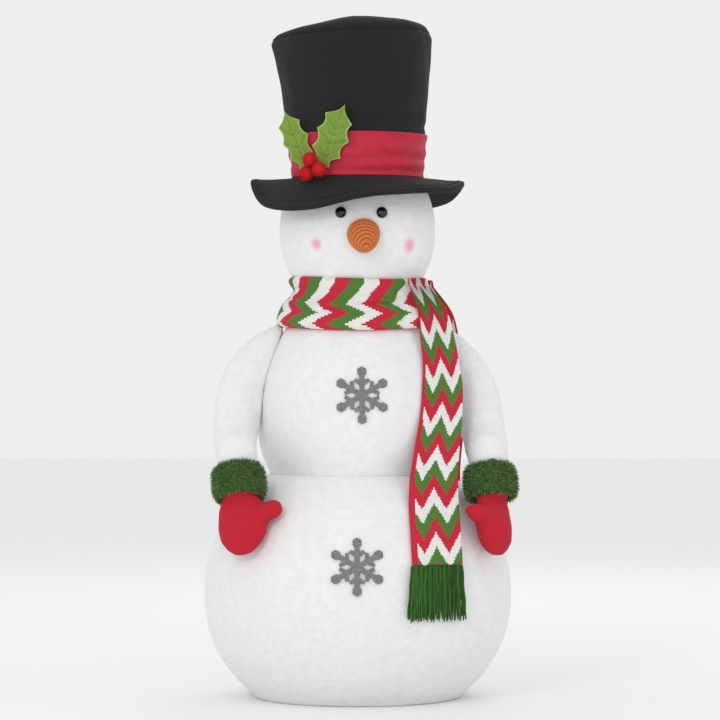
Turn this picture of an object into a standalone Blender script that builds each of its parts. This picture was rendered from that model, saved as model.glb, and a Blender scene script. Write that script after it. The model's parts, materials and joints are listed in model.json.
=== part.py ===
"""Inflatable yard snowman: fleece covers blown up by a fan at the low back, with a
stuffed top hat, a knitted scarf and two mittened arms.

Metres, +Z up. The origin is the centre of the base, the face looks along -Y, and
+X is at the right hand of someone who stands in front of it.
"""
import math

import bmesh
import bpy
from mathutils import Matrix, Vector

# Covers: three turned fleece shells, one above the other
BASE_RADIUS = 0.160
BELLY_RADIUS = 0.240
BELLY_MAX_Z = 0.166
WAIST_RADIUS = 0.137
WAIST_Z = 0.350
CHEST_RADIUS = 0.156
CHEST_MAX_Z = WAIST_Z + 0.0755
NECK_Z = WAIST_Z + 0.270
HEAD_RADIUS = 0.122
HEAD_HALF_HEIGHT = 0.137
HEAD_Z = NECK_Z + 0.1116
HEAD_TOP_Z = HEAD_Z + 0.0714
COVER_WALL = 0.004
SEAM_LIP = 0.003
COVER_SEGMENTS = 28

# Clearances
GAP = 0.0003
SEWN_GAP = 0.0008
ARM_GAP = 0.0015

# Hat
HAT_RADIUS = 0.099
HAT_TOP_RADIUS = 0.1265
HAT_Z = HEAD_TOP_Z + 0.0108
HAT_HEIGHT = 0.217
HAT_LEAN = 0.0095
HAT_WALL = 0.004
HAT_PUFF = 0.037
BAND_HEIGHT = 0.066
BAND_WALL = 0.0025
BRIM_RADIUS = 0.163
BRIM_WALL = 0.006
BRIM_HEM = 0.0032
BRIM_EDGE = (  # how far the soft brim's edge hangs below the crown, every 30 degrees from +X
    0.009, 0.031, 0.039, 0.039, 0.034, 0.021, 0.006, 0.044, 0.052, 0.035, 0.026, 0.021,
)

# Face
EYE_RADIUS = 0.0088
EYE_RISE = 0.0225
EYE_SPACING = 0.064
FACE_TURN = 0.006
EYE_SHANK = 0.0015
NOSE_RADIUS = 0.025
NOSE_LENGTH = 0.060
NOSE_DROP = 0.0100
NOSE_TILT = math.radians(26)

# Snowflakes
FLAKE_RADIUS = 0.0448
FLAKE_THICKNESS = 0.003
FLAKE_ARM = 0.0078
FLAKE_STAND = 0.0021
FLAKE_FOLD = 0.09
CHEST_FLAKE_Z = CHEST_MAX_Z + 0.048
BELLY_FLAKE_Z = BELLY_MAX_Z + 0.051

# Arms: how far the hands lie forward, in degrees from the side, and the palms' turn
ARM_RADIUS = 0.0345
ARM_SWEEP = {"left": 35.8, "right": 26.0}
PALM_TURN = {"left": 76.0, "right": 36.0}
CUFF_RADIUS = 0.041
CUFF_LENGTH = 0.050
WRIST_RADIUS = 0.0265
MITTEN_LENGTH = 0.092
MITTEN_WIDTH = 0.0745
MITTEN_THICKNESS = 0.047
HAND_STEEP = 0.893

# Scarf
SCARF_WIDTH = 0.075
SCARF_THICKNESS = 0.004
SCARF_TAIL_LENGTH = 0.424
WRAP_Z = NECK_Z - 0.037
FRINGE_LENGTH = 0.083
TAIL_CLEARANCE = 0.003
BACK_TAIL_SHIFT = 0.012

# Blower, on an axis along +Y at the low back
BLOWER_Z = 0.150
HOUSING_RADIUS = 0.052
HOUSING_WALL = 0.0025
HOUSING_DEPTH = 0.095
FLANGE_RADIUS = 0.066
FLANGE_THICKNESS = 0.005
PORT_CLEARANCE = 0.0015
PORT_Y = BELLY_RADIUS + 0.003
PANEL_RADIUS = FLANGE_RADIUS + 0.006
GASKET_THICKNESS = 0.0022
GRILLE_RADIUS = 0.056
GRILLE_THICKNESS = 0.003
IMPELLER_RADIUS = 0.040
IMPELLER_VANES = 9
MOTOR_RADIUS = 0.018
SHAFT_RADIUS = 0.0015
INLET_RADIUS = 0.0085
INLET_BORE = 0.0034

# Inside
STRAP_WIDTH = 0.020
STRAP_THICKNESS = 0.0015
BAFFLE_THICKNESS = 0.0012
BAFFLE_VENT = 0.040
LEAD_RADIUS = 0.0018
LAMP_SIZE = (0.020, 0.010, 0.026)
BAG_SIZE = (0.090, 0.130, 0.030)

# Deflation zip across the back of the chest, and the tether rings
ZIP_HALF_ANGLE = math.radians(26)
ZIP_REST_ANGLE = math.radians(22)
ZIP_TAPE = 0.026
ZIP_CHAIN = 0.005
ZIP_RISE = 0.0028
TETHER_ANGLE = math.radians(20)
TETHER_Z = BELLY_MAX_Z + 0.010
RING_RADIUS = 0.011
RING_WIRE = 0.0018

COLOURS = {
    "fleece": ((0.87, 0.87, 0.86), 0.95, 0.0),
    "nylon": ((0.80, 0.80, 0.81), 0.70, 0.0),
    "black_felt": ((0.020, 0.020, 0.022), 0.95, 0.0),
    "red_satin": ((0.55, 0.02, 0.05), 0.60, 0.0),
    "green_felt": ((0.22, 0.37, 0.05), 0.90, 0.0),
    "red_pompom": ((0.72, 0.02, 0.03), 0.90, 0.0),
    "eye_plastic": ((0.01, 0.01, 0.01), 0.15, 0.0),
    "nose_felt": ((0.72, 0.20, 0.05), 0.90, 0.0),
    "grey_felt": ((0.21, 0.20, 0.20), 0.95, 0.0),
    "scarf_knit": ((0.55, 0.03, 0.06), 0.95, 0.0),
    "green_yarn": ((0.03, 0.12, 0.01), 0.95, 0.0),
    "green_fur": ((0.05, 0.13, 0.02), 0.95, 0.0),
    "red_mitten": ((0.50, 0.02, 0.04), 0.90, 0.0),
    "black_plastic": ((0.03, 0.03, 0.03), 0.45, 0.0),
    "grey_plastic": ((0.35, 0.35, 0.36), 0.50, 0.0),
    "foam_rubber": ((0.06, 0.06, 0.06), 0.90, 0.0),
    "steel": ((0.60, 0.60, 0.62), 0.30, 1.0),
    "webbing": ((0.06, 0.06, 0.06), 0.85, 0.0),
    "zip_tape": ((0.82, 0.82, 0.83), 0.85, 0.0),
    "lens": ((0.90, 0.90, 0.95), 0.10, 0.0),
    "sand_bag": ((0.30, 0.32, 0.34), 0.85, 0.0),
}


# ---------------------------------------------------------------- shape rules


def belly_radius(z):
    """Outer radius of the belly cover at height z."""
    if z <= BELLY_MAX_Z:
        t = max(z, 0.0) / BELLY_MAX_Z
        return BASE_RADIUS + (BELLY_RADIUS - BASE_RADIUS) * (1 - (1 - t) ** 2.45)
    u = min((z - BELLY_MAX_Z) / (WAIST_Z - BELLY_MAX_Z), 1.0)
    return WAIST_RADIUS + (BELLY_RADIUS - WAIST_RADIUS) * (1 - u * u) ** 0.75


def head_radius(z):
    """Outer radius of the head cover at height z."""
    v = (z - HEAD_Z) / HEAD_HALF_HEIGHT
    return HEAD_RADIUS * math.sqrt(1 - v * v)


NECK_RADIUS = head_radius(NECK_Z)
HEAD_TOP_RADIUS = head_radius(HEAD_TOP_Z)


def chest_radius(z):
    """Outer radius of the chest cover at height z."""
    if z <= CHEST_MAX_Z:
        t = (z - WAIST_Z) / (CHEST_MAX_Z - WAIST_Z)
        return WAIST_RADIUS + (CHEST_RADIUS - WAIST_RADIUS) * (1 - (1 - t) ** 2.2)
    u = min((z - CHEST_MAX_Z) / (NECK_Z - CHEST_MAX_Z), 1.0)
    return NECK_RADIUS + (CHEST_RADIUS - NECK_RADIUS) * (1 - u * u) ** 0.75


def mix(a, b, t):
    return a + (b - a) * t


def along(points, t):
    """The point at t, from 0 to 1, on a smooth curve through evenly spaced points."""
    spans = len(points) - 1
    i = min(int(t * spans), spans - 1)
    f = t * spans - i
    p1, p2 = points[i], points[i + 1]
    p0 = points[i - 1] if i else p1 * 2 - p2
    p3 = points[i + 2] if i + 2 <= spans else p2 * 2 - p1
    bend = (p0 * 2 - p1 * 5 + p2 * 4 - p3) * f + (p1 * 3 - p0 - p2 * 3 + p3) * f * f
    return p1 + ((p2 - p0) + bend) * (0.5 * f)


def read_table(table, x):
    """Straight-line value at x in a list of (x, value) pairs in rising order."""
    for (x0, v0), (x1, v1) in zip(table, table[1:]):
        if x <= x1:
            return mix(v0, v1, max((x - x0) / (x1 - x0), 0.0))
    return table[-1][1]


# ---------------------------------------------------------------- making objects


def clear_scene():
    for old in list(bpy.data.objects):
        bpy.data.objects.remove(old)


def material(name):
    """The named material, made the first time that it is asked for."""
    found = bpy.data.materials.get(name)
    if found:
        return found
    colour, roughness, metallic = COLOURS[name]
    made = bpy.data.materials.new(name)
    made.use_nodes = True
    shader = made.node_tree.nodes["Principled BSDF"]
    shader.inputs["Base Color"].default_value = (*colour, 1)
    shader.inputs["Roughness"].default_value = roughness
    shader.inputs["Metallic"].default_value = metallic
    return made


def add_object(name, data, slot):
    made = bpy.data.objects.new(name, data)
    bpy.context.scene.collection.objects.link(made)
    if slot:
        data.materials.append(material(slot))
    return made


def object_from(name, bm, slot, place=None, sharp=40):
    """Turns a bmesh into an object, with its faces pointing out, at matrix place."""
    bmesh.ops.recalc_face_normals(bm, faces=bm.faces)
    mesh = bpy.data.meshes.new(name)
    bm.to_mesh(mesh)
    bm.free()
    mesh.shade_smooth()
    mesh.set_sharp_from_angle(angle=math.radians(sharp))
    made = add_object(name, mesh, slot)
    if place is not None:
        made.matrix_world = place
    return made


def lathe(name, profile, slot, place=None, segments=COVER_SEGMENTS, closed=True):
    """Turns a closed outline of (radius, z) points once round Z. closed=False is an
    open outline whose two ends lie on the axis."""
    bm = bmesh.new()
    verts = [bm.verts.new((r, 0, z)) for r, z in profile]
    pairs = list(zip(verts, verts[1:]))
    if closed:
        pairs.append((verts[-1], verts[0]))
    edges = [bm.edges.new(pair) for pair in pairs]
    bmesh.ops.spin(
        bm,
        geom=verts + edges,
        cent=(0, 0, 0),
        axis=(0, 0, 1),
        angle=math.tau,
        steps=segments,
        use_merge=True,
    )
    bmesh.ops.remove_doubles(bm, verts=bm.verts, dist=1e-6)
    return object_from(name, bm, slot, place)


def loft(name, rings, slot, place=None, hollow=False):
    """Joins rings of points into one skin. A hollow one closes on its first ring, and
    any other is capped at both ends."""
    bm = bmesh.new()
    loops = [[bm.verts.new(point) for point in ring] for ring in rings]
    pairs = list(zip(loops, loops[1:]))
    if hollow:
        pairs.append((loops[-1], loops[0]))
    for low, high in pairs:
        for i in range(len(low)):
            j = (i + 1) % len(low)
            bm.faces.new((low[i], low[j], high[j], high[i]))
    if not hollow:
        bm.faces.new(loops[0])
        bm.faces.new(loops[-1])
    return object_from(name, bm, slot, place)


def plate(name, outline, thickness, slot, place=None):
    """A flat outline of (x, y) points, thickened along +Z."""
    bm = bmesh.new()
    face = bm.faces.new([bm.verts.new((x, y, 0)) for x, y in outline])
    pushed = bmesh.ops.extrude_face_region(bm, geom=[face])["geom"]
    tops = [v for v in pushed if isinstance(v, bmesh.types.BMVert)]
    bmesh.ops.translate(bm, verts=tops, vec=(0, 0, thickness))
    return object_from(name, bm, slot, place)


def box(name, low, high, slot, place=None):
    bm = bmesh.new()
    bmesh.ops.create_cube(bm, size=1)
    low, high = Vector(low), Vector(high)
    for vert in bm.verts:
        for k in range(3):
            vert.co[k] = mix(low[k], high[k], vert.co[k] + 0.5)
    return object_from(name, bm, slot, place)


def boolean(target, other, operation="DIFFERENCE"):
    """Cuts or adds other, which is then only a guide."""
    other.hide_render = True
    other.display_type = "WIRE"
    step = target.modifiers.new(operation.lower(), "BOOLEAN")
    step.operation = operation
    step.object = other
    return target


def cylinder_outline(radius, low, high, bore=0.0):
    """Outline for lathe of a plain disc, or of a ring if it has a bore."""
    return [(bore, low), (radius, low), (radius, high), (bore, high)]


def disc(name, radius, low, high, slot, place=None, bore=0.0, segments=24):
    outline = cylinder_outline(radius, low, high, bore)
    return lathe(name, outline, slot, place, segments, closed=bore > 0)


def to_back(y=0.0, x=0.0, z=BLOWER_Z):
    """Places a piece made along +Z so that it points along +Y."""
    return Matrix.Translation((x, y, z)) @ Matrix.Rotation(-math.pi / 2, 4, "X")


def frame_at(origin, outward, up=Vector((0, 0, 1))):
    """A matrix with local +Z along outward and local +Y as near to up as it can be."""
    z = outward.normalized()
    x = up.cross(z).normalized()
    y = z.cross(x)
    rotation = Matrix((x, y, z)).transposed().to_4x4()
    return Matrix.Translation(origin) @ rotation


def circle(radius, z, centre=0.0, segments=COVER_SEGMENTS, tilt=0.0):
    """A ring of points about (centre, 0), whose height rises by tilt across +X."""
    points = []
    for i in range(segments):
        a = math.tau * i / segments
        x = radius * math.cos(a)
        points.append((centre + x, radius * math.sin(a), z + tilt * x))
    return points


# ---------------------------------------------------------------- covers


def shell_outline(radius_at, heights):
    """Outline of a cover whose outside follows radius_at, with a wall all over."""
    outside = [(radius_at(z), z) for z in heights]
    inside = []
    for i, (r, z) in enumerate(outside):
        r0, z0 = outside[max(i - 1, 0)]
        r1, z1 = outside[min(i + 1, len(outside) - 1)]
        run = math.hypot(r1 - r0, z1 - z0)
        inside.append((r - COVER_WALL * (z1 - z0) / run, z + COVER_WALL * (r1 - r0) / run))
    inside[0] = (outside[0][0] - COVER_WALL, outside[0][1])
    inside[-1] = (outside[-1][0] - COVER_WALL, outside[-1][1])
    return outside + inside[::-1]


def spaced(low, high, count, ease):
    """Heights from low to high. ease over 1 puts them closer at the high end, and
    under 1 closer at the low end."""
    return [low + (high - low) * (1 - (1 - i / count) ** ease) for i in range(count + 1)]


BELLY_HEIGHTS = spaced(0, BELLY_MAX_Z, 5, 1.0)[:-1]
BELLY_HEIGHTS += spaced(BELLY_MAX_Z, WAIST_Z - SEAM_LIP, 7, 1.5)
CHEST_HEIGHTS = spaced(WAIST_Z + GAP, CHEST_MAX_Z, 3, 1.0)[:-1]
CHEST_HEIGHTS += spaced(CHEST_MAX_Z, NECK_Z - GAP, 7, 1.3)


def make_covers():
    belly_outline = shell_outline(belly_radius, BELLY_HEIGHTS)
    top_r, top_z = WAIST_RADIUS, WAIST_Z - GAP
    middle = len(BELLY_HEIGHTS)
    belly_outline[middle:middle] = [(top_r, top_z), (top_r - COVER_WALL, top_z)]
    belly = lathe("belly_cover", belly_outline, "fleece")
    port = disc(
        "port_hole", HOUSING_RADIUS + PORT_CLEARANCE, 0, 0.1, None, to_back(PORT_Y - 0.06)
    )
    boolean(belly, port)

    lathe("chest_cover", shell_outline(chest_radius, CHEST_HEIGHTS), "fleece")

    head_z = spaced(NECK_Z + GAP, HEAD_TOP_Z, 9, 1.0)
    head = lathe("head_cover", shell_outline(head_radius, head_z), "fleece")
    for side in (-1, 1):
        hole = disc("eye_hole", EYE_SHANK + 0.0007, -0.02, 0.02, None, eye_place(side), 0, 10)
        boolean(head, hole)

    disc("base_panel", BASE_RADIUS - COVER_WALL - 2 * GAP, 0, 0.004, "nylon", None, 0, COVER_SEGMENTS)


def keepout(name, radius_at, heights, clearance):
    """A solid of one cover grown by clearance, which cuts what is sewn onto it."""
    outline = [(0, heights[0])] + [(radius_at(z) + clearance, z) for z in heights]
    outline.append((0, heights[-1]))
    return lathe(name, outline, None, closed=False)


# ---------------------------------------------------------------- face and hat


def on_head(x, z, proud=0.0):
    """Where the front of the head is at (x, z), and which way it faces."""
    radius = head_radius(z)
    y = -math.sqrt(radius * radius - x * x)
    normal = Vector((x, y, (z - HEAD_Z) * (HEAD_RADIUS / HEAD_HALF_HEIGHT) ** 2))
    normal.normalize()
    return Vector((x, y, z)) + normal * proud, normal


def eye_place(side):
    """side is -1 or 1. The face is turned a little to +X."""
    point, normal = on_head(FACE_TURN + side * EYE_SPACING / 2, HEAD_Z + EYE_RISE, SEWN_GAP)
    return frame_at(point, normal)


def make_face():
    washer_z = -(COVER_WALL + 3 * SEWN_GAP)
    for side, label in ((-1, "left"), (1, "right")):
        dome = [(EYE_RADIUS * math.cos(a), 0.0012 + 0.0068 * math.sin(a))
                for a in (0, 0.35, 0.75, 1.15)]
        shank_end = washer_z - 0.003
        outline = [(0, shank_end), (EYE_SHANK, shank_end), (EYE_SHANK, 0), (EYE_RADIUS, 0)]
        outline += dome + [(0, 0.0080)]
        lathe("eye_" + label, outline, "eye_plastic", eye_place(side), 12, False)
        disc("eye_washer_" + label, 0.008, washer_z - 0.0015, washer_z, "black_plastic",
             eye_place(side), EYE_SHANK + 0.0005, 12)

    point, normal = on_head(FACE_TURN + 0.003, HEAD_Z - NOSE_DROP, SEWN_GAP)
    nose_way = Vector((0.06, -math.cos(NOSE_TILT), -math.sin(NOSE_TILT)))
    outline = [(0, 0.0)]
    steps = 8
    for i in range(steps):
        t = i / steps
        outline.append((NOSE_RADIUS * (1 - t ** 1.7) ** 0.8, NOSE_LENGTH * t))
    outline.append((0, NOSE_LENGTH))
    nose = lathe("carrot_nose", outline, "nose_felt", frame_at(point, nose_way), 16, False)
    guide = box("nose_back", (-0.05, -0.05, -0.05), (0.05, 0.05, 0), None, frame_at(point, normal))
    boolean(nose, guide)


def brim_edge_z(angle, reach):
    """Height of the brim's upper side at an angle, reach being 0 inside and 1 outside."""
    count = len(BRIM_EDGE)
    place = angle / math.tau * count
    i = int(place)
    f = place - i
    drop = mix(BRIM_EDGE[i % count], BRIM_EDGE[(i + 1) % count], f * f * (3 - 2 * f))
    return HAT_Z - 0.0015 - (drop - BRIM_WALL / 2) * reach ** 1.4


def hat_ring(t, proud=0.0, tilt=0.0):
    """A ring on the crown's outside, t being 0 at its foot and 1 at its top."""
    radius = mix(HAT_RADIUS, HAT_TOP_RADIUS, t) + proud
    centre = -HAT_LEAN * t * t
    return circle(radius, HAT_Z + HAT_HEIGHT * t, centre, tilt=tilt)


def make_hat():
    tops = (0.0, 0.25, 0.5, 0.75, 1.0)
    outside = [hat_ring(t) for t in tops]
    inside = [hat_ring(t, -HAT_WALL) for t in reversed(tops)]
    loft("hat_crown", outside + inside, "black_felt", hollow=True)

    band_top = BAND_HEIGHT / HAT_HEIGHT
    bands = (0.004, band_top)
    outside = [hat_ring(t, SEWN_GAP + BAND_WALL) for t in bands]
    inside = [hat_ring(t, SEWN_GAP) for t in reversed(bands)]
    loft("hat_band", outside + inside, "red_satin", hollow=True)

    puff = []
    for i in range(5):
        a = math.pi / 2 * i / 5
        ring_radius = HAT_TOP_RADIUS * math.cos(a) ** 0.8
        height = HAT_Z + HAT_HEIGHT + GAP + HAT_PUFF * math.sin(a)
        puff.append(circle(ring_radius, height, -HAT_LEAN))
    loft("hat_top", puff, "black_felt")

    inner = HEAD_TOP_RADIUS - 0.003
    reaches = (0.0, 0.3, 0.65, 1.0)
    upper, lower = [], []
    for reach in reaches:
        radius = mix(inner, BRIM_RADIUS, reach)
        ring = []
        for i in range(COVER_SEGMENTS):
            a = math.tau * i / COVER_SEGMENTS
            ring.append((radius * math.cos(a), radius * math.sin(a), brim_edge_z(a, reach)))
        upper.append(ring)
        lower.append([(x, y, z - BRIM_WALL) for x, y, z in ring])
    loft("hat_brim", upper + lower[::-1], "black_felt", hollow=True)

    hem_radius = BRIM_RADIUS + GAP + BRIM_HEM
    rings = []
    for k in range(6):
        b = math.tau * k / 6
        ring = []
        for i in range(COVER_SEGMENTS):
            a = math.tau * i / COVER_SEGMENTS
            r = hem_radius + BRIM_HEM * math.cos(b)
            z = brim_edge_z(a, 1.0) - BRIM_WALL / 2 + BRIM_HEM * math.sin(b)
            ring.append((r * math.cos(a), r * math.sin(a), z))
        rings.append(ring)
    loft("brim_hem", rings, "black_felt", hollow=True)


def leaf_outline(length, half_width):
    """A holly leaf up the Y axis, with three spines on each side."""
    spines = ((0.20, 0.78), (0.47, 1.0), (0.74, 0.72))
    hollows = ((0.07, 0.30), (0.33, 0.60), (0.61, 0.58), (0.86, 0.28))
    side = [(half_width * hollows[0][1], length * hollows[0][0])]
    for (spine_y, spine_x), (hollow_y, hollow_x) in zip(spines, hollows[1:]):
        side.append((half_width * spine_x, length * spine_y))
        side.append((half_width * hollow_x, length * hollow_y))
    mirrored = [(-x, y) for x, y in reversed(side)]
    return [(0.0, 0.0)] + side + [(0.0, length)] + mirrored


def make_holly():
    """Two felt leaves and three pompoms at the front left of the band."""
    pinned = {
        "holly_leaf_left": (-0.0785, -0.0800, HAT_Z + 0.0095, -0.0370, 0.0050, 0.0920, 0.096),
        "holly_leaf_right": (-0.0565, -0.0970, HAT_Z + 0.0135, 0.0405, -0.0290, 0.0980, 0.103),
    }
    for name, (x, y, z, dx, dy, dz, length) in pinned.items():
        base = Vector((x, y, z))
        up = Vector((dx, dy, dz))
        outward = Vector((x, y, 0)) + Vector((0.03, -0.035, 0.012))
        place = frame_at(base, outward - up * (outward.dot(up) / up.dot(up)), up)
        plate(name, leaf_outline(length, 0.0265), 0.002, "green_felt", place)
    berry_radius = 0.0105
    berries = ((-0.0735, -0.1050, 0.0217), (-0.0585, -0.1165, 0.0060), (-0.0785, -0.1000, 0.0008))
    for i, (x, y, z) in enumerate(berries):
        bm = bmesh.new()
        bmesh.ops.create_uvsphere(bm, u_segments=12, v_segments=8, radius=berry_radius)
        object_from("berry_%d" % (i + 1), bm, "red_pompom",
                    Matrix.Translation((x, y, HAT_Z + z)))


# ---------------------------------------------------------------- snowflakes


def flake_outline():
    """Six arms, each with a pair of side branches and a hexagon at its end."""
    half = FLAKE_ARM / 2
    knob = 0.0078
    knob_at = FLAKE_RADIUS - knob
    branch_half = 0.0027
    branch = 0.0088
    root = 0.0190
    way = math.radians(52)
    side = (math.sin(way), math.cos(way))
    tip = (root + branch * side[1], half + branch * side[0])
    arm = [
        (root - branch_half / side[0], half),
        (tip[0] - branch_half * side[0], tip[1] + branch_half * side[1]),
        (tip[0] + branch_half * side[0], tip[1] - branch_half * side[1]),
        (root + branch_half / side[0], half),
        (knob_at - knob * 0.8, half),
        (knob_at - knob / 2, knob * 0.866),
        (knob_at + knob / 2, knob * 0.866),
    ]
    one = [(half / math.tan(math.pi / 6), -half)]
    one += [(a, -b) for a, b in arm]
    one.append((FLAKE_RADIUS, 0.0))
    one += list(reversed(arm))
    points = []
    for k in range(6):
        turn = math.pi / 2 + k * math.pi / 3
        c, s = math.cos(turn), math.sin(turn)
        points += [(a * c - b * s, a * s + b * c) for a, b in one]
    return points


def make_snowflake(name, radius_at, x, z):
    """A felt snowflake on the front of a cover, its six flat arms folded back a little."""
    step = 0.02
    fall = (radius_at(z - step) - radius_at(z + step)) / (2 * step)
    y = -math.sqrt(radius_at(z) ** 2 - x * x)
    normal = Vector((x, y, radius_at(z) * fall)).normalized()
    up = Vector((0, 0, 1)) - normal * normal.z
    outline = flake_outline()
    per_arm = len(outline) // 6
    bm = bmesh.new()
    layers = []
    for level in (FLAKE_STAND, FLAKE_STAND + FLAKE_THICKNESS):
        ring = []
        for i, (px, py) in enumerate(outline):
            turn = math.pi / 2 + (i // per_arm) * math.pi / 3
            reach = px * math.cos(turn) + py * math.sin(turn)
            ring.append(bm.verts.new((px, py, level - FLAKE_FOLD * reach)))
        layers.append((bm.verts.new((0, 0, level)), ring))
    count = len(outline)
    for centre, ring in layers:
        for arm in range(6):
            corners = [ring[(arm * per_arm + k) % count] for k in range(per_arm + 1)]
            bm.faces.new([centre] + corners)
    low, high = layers[0][1], layers[1][1]
    for i in range(count):
        j = (i + 1) % count
        bm.faces.new((low[i], low[j], high[j], high[i]))
    bmesh.ops.recalc_face_normals(bm, faces=bm.faces)
    object_from(name, bm, "grey_felt", frame_at(Vector((x, y, z)), normal, up))


# ---------------------------------------------------------------- arms


def beside(side, azimuth, distance, z):
    """A point at a distance from the axis, azimuth degrees forward of the side."""
    a = math.radians(azimuth)
    return Vector((side * distance * math.cos(a), -distance * math.sin(a), z))


def tube_rings(points, radii, flat=1.0, across=None, segments=16):
    """Rings round a path. flat under 1 makes them thin square to the way across."""
    rings = []
    for i, point in enumerate(points):
        before, after = points[max(i - 1, 0)], points[min(i + 1, len(points) - 1)]
        tangent = (after - before).normalized()
        x = (across - tangent * across.dot(tangent)).normalized()
        y = tangent.cross(x)
        ring = []
        for k in range(segments):
            a = math.tau * k / segments
            ring.append(point + x * (radii[i] * math.cos(a)) + y * (radii[i] * flat * math.sin(a)))
        rings.append(ring)
    return rings


def wrist_frame(label, side):
    """Where the sleeve meets the cuff, which way the hand points, and its width."""
    start_z = WAIST_Z + 0.012
    reach = belly_radius(WAIST_Z - 0.034) + CUFF_RADIUS + 0.002
    start = beside(side, ARM_SWEEP[label], reach, start_z)
    hand_z = start_z - (CUFF_LENGTH + MITTEN_LENGTH) * HAND_STEEP
    hand_reach = belly_radius(hand_z) + MITTEN_THICKNESS / 2 + 0.004
    hand = beside(side, ARM_SWEEP[label] * 1.33, hand_reach, hand_z)
    along_hand = (hand - start).normalized()
    palm = beside(side, PALM_TURN[label], 1.0, 0)
    width_way = palm.cross(along_hand).normalized()
    if width_way.x * side > 0:
        width_way.negate()
    return start, along_hand, width_way


def make_arm(label, side, chest_guide):
    sweep = ARM_SWEEP[label]
    start, way, inward = wrist_frame(label, side)
    heights = [NECK_Z - 0.078, NECK_Z - 0.089, NECK_Z - 0.118, NECK_Z - 0.158, NECK_Z - 0.212]
    stands = [-0.016, 0.013, 0.0300, ARM_RADIUS + 0.0030, ARM_RADIUS + 0.0145]
    shares = [0.0, 0.05, 0.16, 0.30, 0.60]
    stations = []
    for z, stand, share in zip(heights, stands, shares):
        stations.append(beside(side, sweep * share, chest_radius(z) + stand, z))
    stations.append(start - way * (ARM_RADIUS * 0.64))
    steps = 10
    points = [along(stations, i / steps) for i in range(steps + 1)]
    radii = [ARM_RADIUS * share for share in
             (0.86, 0.92, 0.95, 0.98, 1.0, 1.0, 1.0, 1.0, 0.99, 0.97, 0.93)]
    rings = tube_rings(points, radii, across=Vector((0, 1, 0)))
    spigot = [start - way * (ARM_RADIUS * 0.17), start - way * 0.001, start + way * 0.018]
    spigot_radii = [ARM_RADIUS * 0.90, WRIST_RADIUS, WRIST_RADIUS]
    rings += tube_rings(spigot, spigot_radii, across=Vector((0, 1, 0)))
    sleeve = loft("arm_sleeve_" + label, rings, "fleece")
    boolean(sleeve, chest_guide)

    wall = WRIST_RADIUS + 0.0006
    cuff_outline = [(wall, 0), (CUFF_RADIUS * 0.9, 0), (CUFF_RADIUS, CUFF_LENGTH * 0.25),
                    (CUFF_RADIUS, CUFF_LENGTH * 0.75), (CUFF_RADIUS * 0.9, CUFF_LENGTH),
                    (wall, CUFF_LENGTH)]
    lathe("cuff_" + label, cuff_outline, "green_fur", frame_at(start, way, inward), 20)
    make_mitten(label, start, way, inward)


def make_mitten(label, start, way, inward):
    """A stuffed hand whose neck sits in the cuff, and a thumb joined to it."""
    flat = MITTEN_THICKNESS / MITTEN_WIDTH
    neck = [start + way * 0.0195, start + way * (CUFF_LENGTH + GAP)]
    rings = tube_rings(neck, [WRIST_RADIUS] * 2, across=inward, segments=18)
    shape = ((0.01, 0.80), (0.2, 0.93), (0.48, 1.0), (0.72, 0.90), (0.88, 0.66), (0.97, 0.36))
    half = MITTEN_WIDTH / 2
    knuckle = start + way * (CUFF_LENGTH + 2 * GAP)
    points = [knuckle + way * (MITTEN_LENGTH * t) for t, _ in shape]
    rings += tube_rings(points, [half * w for _, w in shape], flat, inward, 18)
    mitten = loft("mitten_" + label, rings, "red_mitten")
    thumb_from = knuckle + way * (MITTEN_LENGTH * 0.34) + inward * (half * 0.3)
    thumb_to = knuckle + way * (MITTEN_LENGTH * 0.37) + inward * (half * 1.55)
    points = [thumb_from.lerp(thumb_to, t) for t in (0, 0.5, 0.8, 0.95, 1.0)]
    thick = 0.0168
    thumb_rings = tube_rings(points, [thick * k for k in (1, 1, 0.9, 0.65, 0.35)], 0.95, way, 12)
    thumb = loft("thumb_" + label, thumb_rings, None)
    boolean(mitten, thumb, "UNION")


# ---------------------------------------------------------------- scarf


def make_scarf_wrap():
    """The doubled scarf round the neck: one closed roll of cloth."""
    clear = 0.003
    low, high = WRAP_Z, WRAP_Z + 0.071
    inside = []
    for t in (0.0, 0.25, 0.5, 0.75, 1.0):
        z = mix(low, high, t)
        if z < NECK_Z:
            radius = chest_radius(z)
        else:
            radius = head_radius(z)
        inside.append((max(radius, NECK_RADIUS + 0.006) + clear, z))
    fold = inside[0][0] + 0.0125
    top = inside[-1][0] + 0.0035
    outside = [(fold - 0.010, low - 0.003), (fold, low + 0.001), (fold, low + 0.010),
               (fold - 0.009, low + 0.030), (top - 0.0035, high - 0.020),
               (top + 0.0005, high - 0.006), (top - 0.001, high)]
    lathe("scarf_wrap", outside + inside[::-1], "scarf_knit")


def drape_radius(z):
    """How far out the hanging scarf lies: straight from the wrap to the chest, then
    straight to the belly, then on it."""
    contact_z = WAIST_Z - 0.045
    if z <= contact_z:
        return belly_radius(z)
    wrap_radius = chest_radius(WRAP_Z) + 0.017
    hold = [
        (contact_z, belly_radius(contact_z)),
        (CHEST_MAX_Z, CHEST_RADIUS + 0.001),
        (NECK_Z - 0.120, chest_radius(NECK_Z - 0.120) + 0.0015),
        (NECK_Z - 0.030, wrap_radius),
        (NECK_Z + 0.040, wrap_radius - 0.010),
    ]
    return read_table(hold, z)


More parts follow.
